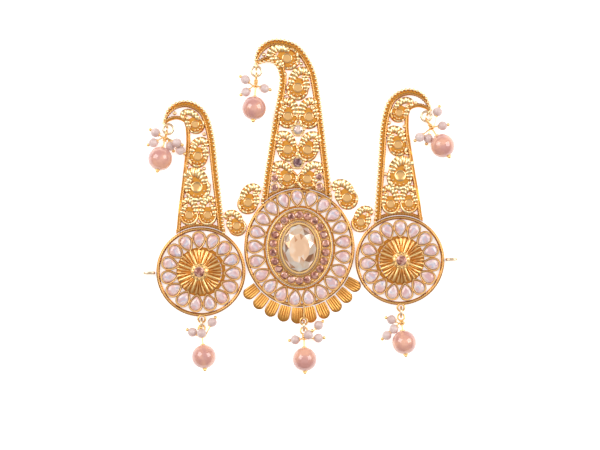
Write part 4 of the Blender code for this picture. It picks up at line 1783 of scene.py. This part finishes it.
        # The stone's peach and cream colour with painted reflections: a bright glint, a dark reflection,
        # and lighter and darker brown and mauve facets.
        peach, cream, painted_glint = (0.95, 0.66, 0.45), (0.98, 0.86, 0.74), (1.0, 0.97, 0.93)
        brown, painted_dark_reflection, mauve = (0.55, 0.26, 0.12), (0.24, 0.11, 0.07), (0.74, 0.6, 0.58)
        rows = (
            (1.0, 0.0, 0.0, (brown,)),
            (1.0, 0.6, 0.0, (brown, mauve)),
            (0.86, 0.78, 0.5, (painted_glint, mauve, brown, cream)),
            (0.62, 1.0, 0.0, (cream, painted_dark_reflection, painted_glint, peach, brown)),
            (0.36, 1.0, 0.5, (peach, peach, cream, peach, brown)),
        )
        rings = []
        for share, up, lag, _ in rows:
            oval = Oval(share * self.stone.half_width, share * self.stone.half_height)
            z = self.stone_base + up * self.stone_height
            points = [level(oval.point(360 * (i + lag) / count), z) for i in range(count)]
            rings.append([shape.mesh.verts.new(point) for point in points])
        for row, (ring, after) in enumerate(zip(rings, rings[1:])):
            tints = rows[row + 1][3]
            leads = rows[row + 1][2] > rows[row][2]
            for i in range(count):
                j = (i + 1) % count
                pair = ((ring[i], ring[j], after[i]), (ring[j], after[j], after[i]))
                if not leads:
                    pair = ((ring[i], after[j], after[i]), (ring[i], ring[j], after[j]))
                for corners in pair:
                    shape.face(corners, shape.pick(tints))
        shape.face(rings[0], brown)
        shape.face(rings[-1], peach)
        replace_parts(shape.piece("champagne_oval", CHAMPAGNE), "centre_stone")


@dataclass(frozen=True)
class SideMedallion:
    """A side medallion: rope ring, pear stones, ribbed flower, its stone, and the fastening loop."""

    side: Side
    matrix: Matrix
    radius: float = 17.1 * MM
    ring_band: float = 1.3 * MM
    ring_top: float = 1.5 * MM
    hoop: float = 9.0 * MM
    hoop_band: float = 0.9 * MM
    pears: int = 15
    pear_start: float = 92.0
    flower: float = 8.6 * MM
    flower_base: float = 1.3 * MM
    flower_height: float = 2.5 * MM
    flower_shift: float = 0.5 * MM
    flutes: int = 16
    rope: float = 0.6 * MM
    rope_pitch: float = 1.0 * MM
    flower_core: float = 0.38
    flower_rows: int = 9
    flower_corners: int = 256
    chevrons: int = 8
    chevron_bend: float = 7.0
    stone: float = 2.1 * MM
    seat_rise: float = 0.3 * MM
    seat_grains: int = 12
    seat_grain: float = 0.5 * MM
    loop_length: float = 4.8 * MM
    loop_height: float = 3.2 * MM
    loop_wire: float = 0.6 * MM

    @property
    def name(self) -> str:
        """The side's name."""
        return self.side.label

    def build(self, trees: Trees) -> None:
        """Builds the medallion.

        Args:
            trees: The trees that grow rope, grains and settings.
        """
        round_ring = Oval(self.radius, self.radius)
        metal = Shape(self.matrix)
        metal.band(round_ring.path(140), round_ring.path(140, -self.ring_band), self.ring_top)
        hoop = Oval(self.hoop, self.hoop)
        metal.strip(hoop.path(100, 0.5 * self.hoop_band), hoop.path(100, -self.hoop_band), HOOP_TOP)
        post = Vector((0, EYELET_WIRE - self.radius, 0))
        metal.wire([level(post, 0.2 * MM), level(post, LINK_LEVEL)], EYELET_WIRE, 10)
        upright = Shape()
        DROPS[f"{self.name}_bottom"].build(self.matrix @ Vector((0, -self.radius, 0)), upright)
        upright.piece(f"{self.name}_bottom_eyelet", WIRE_GILT)
        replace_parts(metal.piece(f"{self.name}_ring_metal", WIRE_GILT), f"{self.name}_medallion")
        path = [self.matrix @ p for p in round_ring.path(200, -0.5 * self.ring_band, self.ring_top)]
        trees.twisted(f"{self.name}_ring_rope", path, True, self.rope, self.rope_pitch)
        spots = []
        turn = self.matrix.to_3x3()
        middle = self.hoop - self.hoop_band * 0.5 + PEAR.length / 2
        for i in range(self.pears):
            way = heading(self.pear_start - 360 * i / self.pears)
            spots.append((self.matrix @ (way * middle), turn @ way))
        trees.settings(f"{self.name}_collets", PEAR.collet(), spots, WIRE_GILT)
        trees.settings(f"{self.name}_pear_stones", PEAR.stone(), spots, OPAL)
        self.build_flower()
        self.build_loop()

    def build_flower(self) -> None:
        """Builds the ribbed flower, its ring of grains and its stone."""
        metal = Shape(self.matrix)
        shift = Vector((-self.flower_shift, 0, 0))
        core = 1 - self.flower_core
        shares = [1 - core * row / self.flower_rows for row in range(self.flower_rows + 1)]
        sections = [self.flower_section(share, shift) for share in shares]
        foot = [level(point, self.flower_base) for point in sections[0]]
        metal.skin([foot] + sections)
        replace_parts(metal.piece(f"{self.name}_ribbed_flower", FLOWER_GILT), f"{self.name}_flower")
        top = self.flower_base + 0.8 * self.flower_height
        seat = Shape(self.matrix)
        seat.turned([(share * self.stone, top + z * MM) for share, z in FLOWER_SEAT], shift)
        for i in range(self.seat_grains):
            way = heading(360 * i / self.seat_grains)
            grain = shift + way * 1.28 * self.stone
            seat.ball(level(grain, top + self.seat_rise), self.seat_grain, 12, 8)
        seat.piece(f"{self.name}_flower_seat", FLOWER_GILT)
        stone = Shape(self.matrix)
        stone.brilliant(shift, self.stone, top + self.seat_rise, ROSE_TINTS)
        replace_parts(stone.piece(f"{self.name}_flower_gem", ROSE_STONE), f"{self.name}_flower_stone")

    def flower_section(self, share: float, shift: Vector) -> list[Vector]:
        """One ring of points on the ribbed flower.

        Args:
            share: The ring's share of the flower's radius.
            shift: The flower's middle.

        Returns:
            The points.
        """
        section = []
        dome = 1 - (share - self.flower_core) ** 2 * 1.3
        for i in range(self.flower_corners):
            angle = 360 * i / self.flower_corners
            bend = self.chevron_bend * math.sin(math.radians(self.chevrons * angle)) * (1.1 - share)
            ridge = abs(math.cos(math.radians(self.flutes * (angle + bend))))
            out = self.flower * share * (0.95 + 0.05 * ridge)
            rise = 0.2 + 0.6 * dome * (0.3 + 0.7 * ridge**0.6)
            z = self.flower_base + self.flower_height * rise
            section.append(level(shift + heading(angle) * out, z))
        return section

    def build_loop(self) -> None:
        """Builds the pale wire loop that the jewel is tied or pinned by."""
        middle = Vector((-self.radius - GAP - self.loop_length / 2, 0, self.loop_height / 2))
        half = (self.loop_length / 2 - self.loop_wire, self.loop_height / 2 - self.loop_wire)
        path = []
        for i in range(40):
            way = heading(9 * i)
            path.append(middle + Vector((half[0] * way.x, 0, half[1] * way.y)))
        metal = Shape(self.matrix)
        metal.wire(path, self.loop_wire, 12, True)
        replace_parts(metal.piece(f"{self.name}_wire_loop", PALE_METAL), f"{self.name}_loop")


@dataclass(frozen=True)
class Links:
    """The four paisleys that stand between the medallions."""

    ring: Oval
    radius: float = 4.0 * MM
    length: float = 6.6 * MM

    def build(self) -> None:
        """Builds them."""
        for name, angle, size, lean, curl in LINKS:
            radius = size * self.radius
            bowl = self.ring.point(angle, radius + GAP)
            scroll = bowl + heading(lean) * size * self.length
            metal = Shape()
            granules: list[Vector] = []
            Paisley(bowl, scroll, radius, heading(curl)).build(metal, granules)
            for spot in granules:
                metal.ball(level(spot, GRANULE_LEVEL), GRANULE_RADIUS, 10, 8)
            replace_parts(metal.piece(f"{name}_paisley", GILT), name)


@dataclass(frozen=True)
class Petals:
    """The fan of fluted petals under the centre medallion."""

    ring: Oval
    count: int = 10
    start: float = 221.0
    end: float = 326.7
    length: float = 6.2 * MM
    width: float = 4.8 * MM
    lift: float = 0.2 * MM
    thickness: float = 0.95 * MM
    ribs: int = 5
    across: int = 48
    along: int = 10

    def build(self) -> None:
        """Builds them."""
        for number in range(self.count):
            angle = self.start + (self.end - self.start) * number / (self.count - 1)
            normal = self.ring.normal(angle)
            root = Matrix.Translation(self.ring.point(angle, GAP))
            turn = Matrix.Rotation(math.atan2(normal.y, normal.x), 4, "Z")
            shape = Shape(root @ turn)
            shape.skin([self.section(2 * j / self.across - 1) for j in range(self.across + 1)])
            node = f"petal_{number + 1}"
            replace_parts(shape.piece(f"fluted_{node}", SHADED_GILT), node)

    def section(self, share: float) -> list[Vector]:
        """One section along a petal.

        Args:
            share: Its place across the petal, from -1 to 1.

        Returns:
            Its points, out along the top and back along the underside.
        """
        reach = math.sqrt(max(0.0, 1 - 0.8 * share**2))
        rib = abs(math.cos(math.pi * self.ribs * share / 2)) ** 0.6
        top, bottom = [], []
        for i in range(self.along + 1):
            run = i / self.along
            x = run * (0.55 + 0.45 * reach) * self.length
            wide = 0.82 + 0.3 * run - 0.18 * run**2
            y = share * wide * self.width / 2
            fall = max(0.0, math.sin(math.pi * min(1.0, 0.12 + 0.95 * run))) ** 0.35
            z = self.lift + self.thickness * (0.3 + 0.7 * fall * (0.5 + 0.5 * rib))
            top.append(Vector((x, y, z)))
            bottom.append(Vector((x, y, self.lift)))
        return top + bottom[::-1]


@dataclass(frozen=True)
class Studio:
    """The floor, the lights and the camera."""

    scale: float = 0.3834 * MM
    width_px: int = 600
    centre_px: tuple[float, float] = (299.4, 248.0)
    frame_px: tuple[float, float] = (300.0, 225.0)
    lens: float = 100.0
    sensor: float = 36.0
    aim: float = 1.5 * MM
    floor_half: float = 2.0
    sky: Colour = (1.0, 0.92, 0.83, 1)
    sky_strength: float = 0.37

    def build(self) -> None:
        """Builds the studio."""
        half = self.floor_half
        data = bpy.data.meshes.new("floor")
        corners = [(-half, -half, 0), (half, -half, 0), (half, half, 0), (-half, half, 0)]
        data.from_pydata(corners, [], [(0, 1, 2, 3)])
        data.materials.append(FINISHES[PAPER])
        floor = bpy.data.objects.new("floor", data)
        bpy.context.scene.collection.objects.link(floor)
        self.light("top", (0.0, 0.1, 1.1), size=1.5, power=3.45)
        self.light("left", (-0.62, 0.35, 0.62), size=0.6, power=4.2)
        self.light("right", (0.66, 0.25, 0.55), size=0.55, power=3.75)
        world = bpy.data.worlds.new("studio")
        world.use_nodes = True
        sky = world.node_tree.nodes["Background"]
        sky.inputs["Color"].default_value = self.sky
        sky.inputs["Strength"].default_value = self.sky_strength
        bpy.context.scene.world = world
        bpy.context.scene.view_settings.view_transform = "Standard"
        self.camera()

    def light(self, name: str, where: tuple[float, float, float], size: float, power: float) -> None:
        """Adds a square softbox that faces the jewel.

        Args:
            name: Its name.
            where: Its place.
            size: Its side.
            power: Its power in watts.
        """
        lamp = bpy.data.lights.new(name, "AREA")
        lamp.size = size
        lamp.energy = power
        made = bpy.data.objects.new(name, lamp)
        made.location = where
        made.rotation_euler = (Vector((0, 0.01, 0)) - Vector(where)).to_track_quat("-Z", "Y").to_euler()
        bpy.context.scene.collection.objects.link(made)

    def camera(self) -> None:
        """Adds the camera, which looks straight down with the photograph's framing."""
        data = bpy.data.cameras.new("camera")
        data.lens = self.lens
        data.sensor_width = self.sensor
        made = bpy.data.objects.new("camera", data)
        x = (self.frame_px[0] - self.centre_px[0]) * self.scale
        y = (self.centre_px[1] - self.frame_px[1]) * self.scale
        distance = self.width_px * self.scale * self.lens / self.sensor
        made.location = (x, y, self.aim + distance)
        bpy.context.scene.collection.objects.link(made)
        bpy.context.scene.camera = made


@dataclass(frozen=True)
class Jewel:
    """The whole kalgi: medallions, plumes, links and petals."""

    centre: CentreMedallion = CentreMedallion()
    ring_gap: float = 0.5 * MM
    lean: float = 1.25
    seat: float = 2.0 * MM
    corner_seat: float = 1.75 * MM

    def side_matrix(self, side: Side, radius: float) -> Matrix:
        """Where a side assembly lies.

        Args:
            side: The side.
            radius: Its medallion's radius.

        Returns:
            The matrix that its points pass through.
        """
        angle, mirrored = side.value
        origin = self.centre.ring.point(angle, self.ring_gap + radius)
        flip = Matrix.Scale(-1, 4, Vector((1, 0, 0))) if mirrored else Matrix.Identity(4)
        return Matrix.Translation(origin) @ Matrix.Rotation(math.radians(self.lean), 4, "Z") @ flip

    def build(self) -> None:
        """Builds the jewel."""
        trees = Trees()
        self.centre.build(trees)
        self.build_centre_plume(trees)
        for side in Side:
            matrix = self.side_matrix(side, SideMedallion.radius)
            SideMedallion(side, matrix).build(trees)
            ring = Oval(SideMedallion.radius, SideMedallion.radius)
            plan = PlumePlan(SIDE_PLAN, height=48.5 * MM, reach=12.8 * MM, half_width=9.4 * MM, ring=ring)
            name, grains, edges = f"{side.label}_plume", SIDE_GRAINS[side], (Edge.OUTER,)
            plume = Plume(name, plan, SIDE_MOTIFS, grains, edges, matrix)
            metal = plume.build(trees)
            metal.matrix = Matrix.Identity(4)
            DROPS[f"{side.label}_top"].build(matrix @ plan.tip(), metal)
            plume.finish(metal)
        Links(self.centre.ring).build()
        Petals(self.centre.ring).build()

    def build_centre_plume(self, trees: Trees) -> None:
        """Builds the centre plume with its stones.

        Args:
            trees: The trees that grow rope, grains and settings.
        """
        ring = self.centre.ring
        plan = PlumePlan(CENTRE_PLAN, height=57.4 * MM, reach=16.5 * MM, half_width=13.6 * MM, ring=ring)
        edges = (Edge.OUTER, Edge.INNER)
        plume = Plume("centre_plume", plan, CENTRE_MOTIFS, CENTRE_GRAINS, edges, Matrix.Identity(4))
        metal = plume.build(trees)
        for name, spot in STONE_SEATS.items():
            where, _ = plan.at(*spot)
            claw_seat(metal, where, 1.3 * self.seat, 1.65 * MM)
            stone = Shape()
            pale = name.endswith("upper")
            tints, finish = (PALE_TINTS, ROSE_STONE) if pale else (DARK_TINTS, DARK_STONE)
            stone.brilliant(where, 0.88 * self.seat, 1.9 * MM, tints, 22.5)
            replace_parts(stone.piece(f"{name}_gem", finish), name)
        corners = Shape()
        for spot in CORNER_SEATS:
            where, _ = plan.at(*spot)
            claw_seat(metal, where, self.corner_seat, 1.6 * MM, 5)
            corners.brilliant(where, 0.76 * self.corner_seat, 1.8 * MM, ROSE_TINTS, 10)
        corners.piece("corner_stones", ROSE_STONE)
        DROPS["centre_top"].build(plan.tip(), metal)
        plume.finish(metal)


def main() -> None:
    """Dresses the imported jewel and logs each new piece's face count."""
    logging.basicConfig(level=logging.INFO, format="%(name)s: %(message)s")
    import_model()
    Jewel().build()
    Studio().build()


if __name__ == "__main__":
    main()
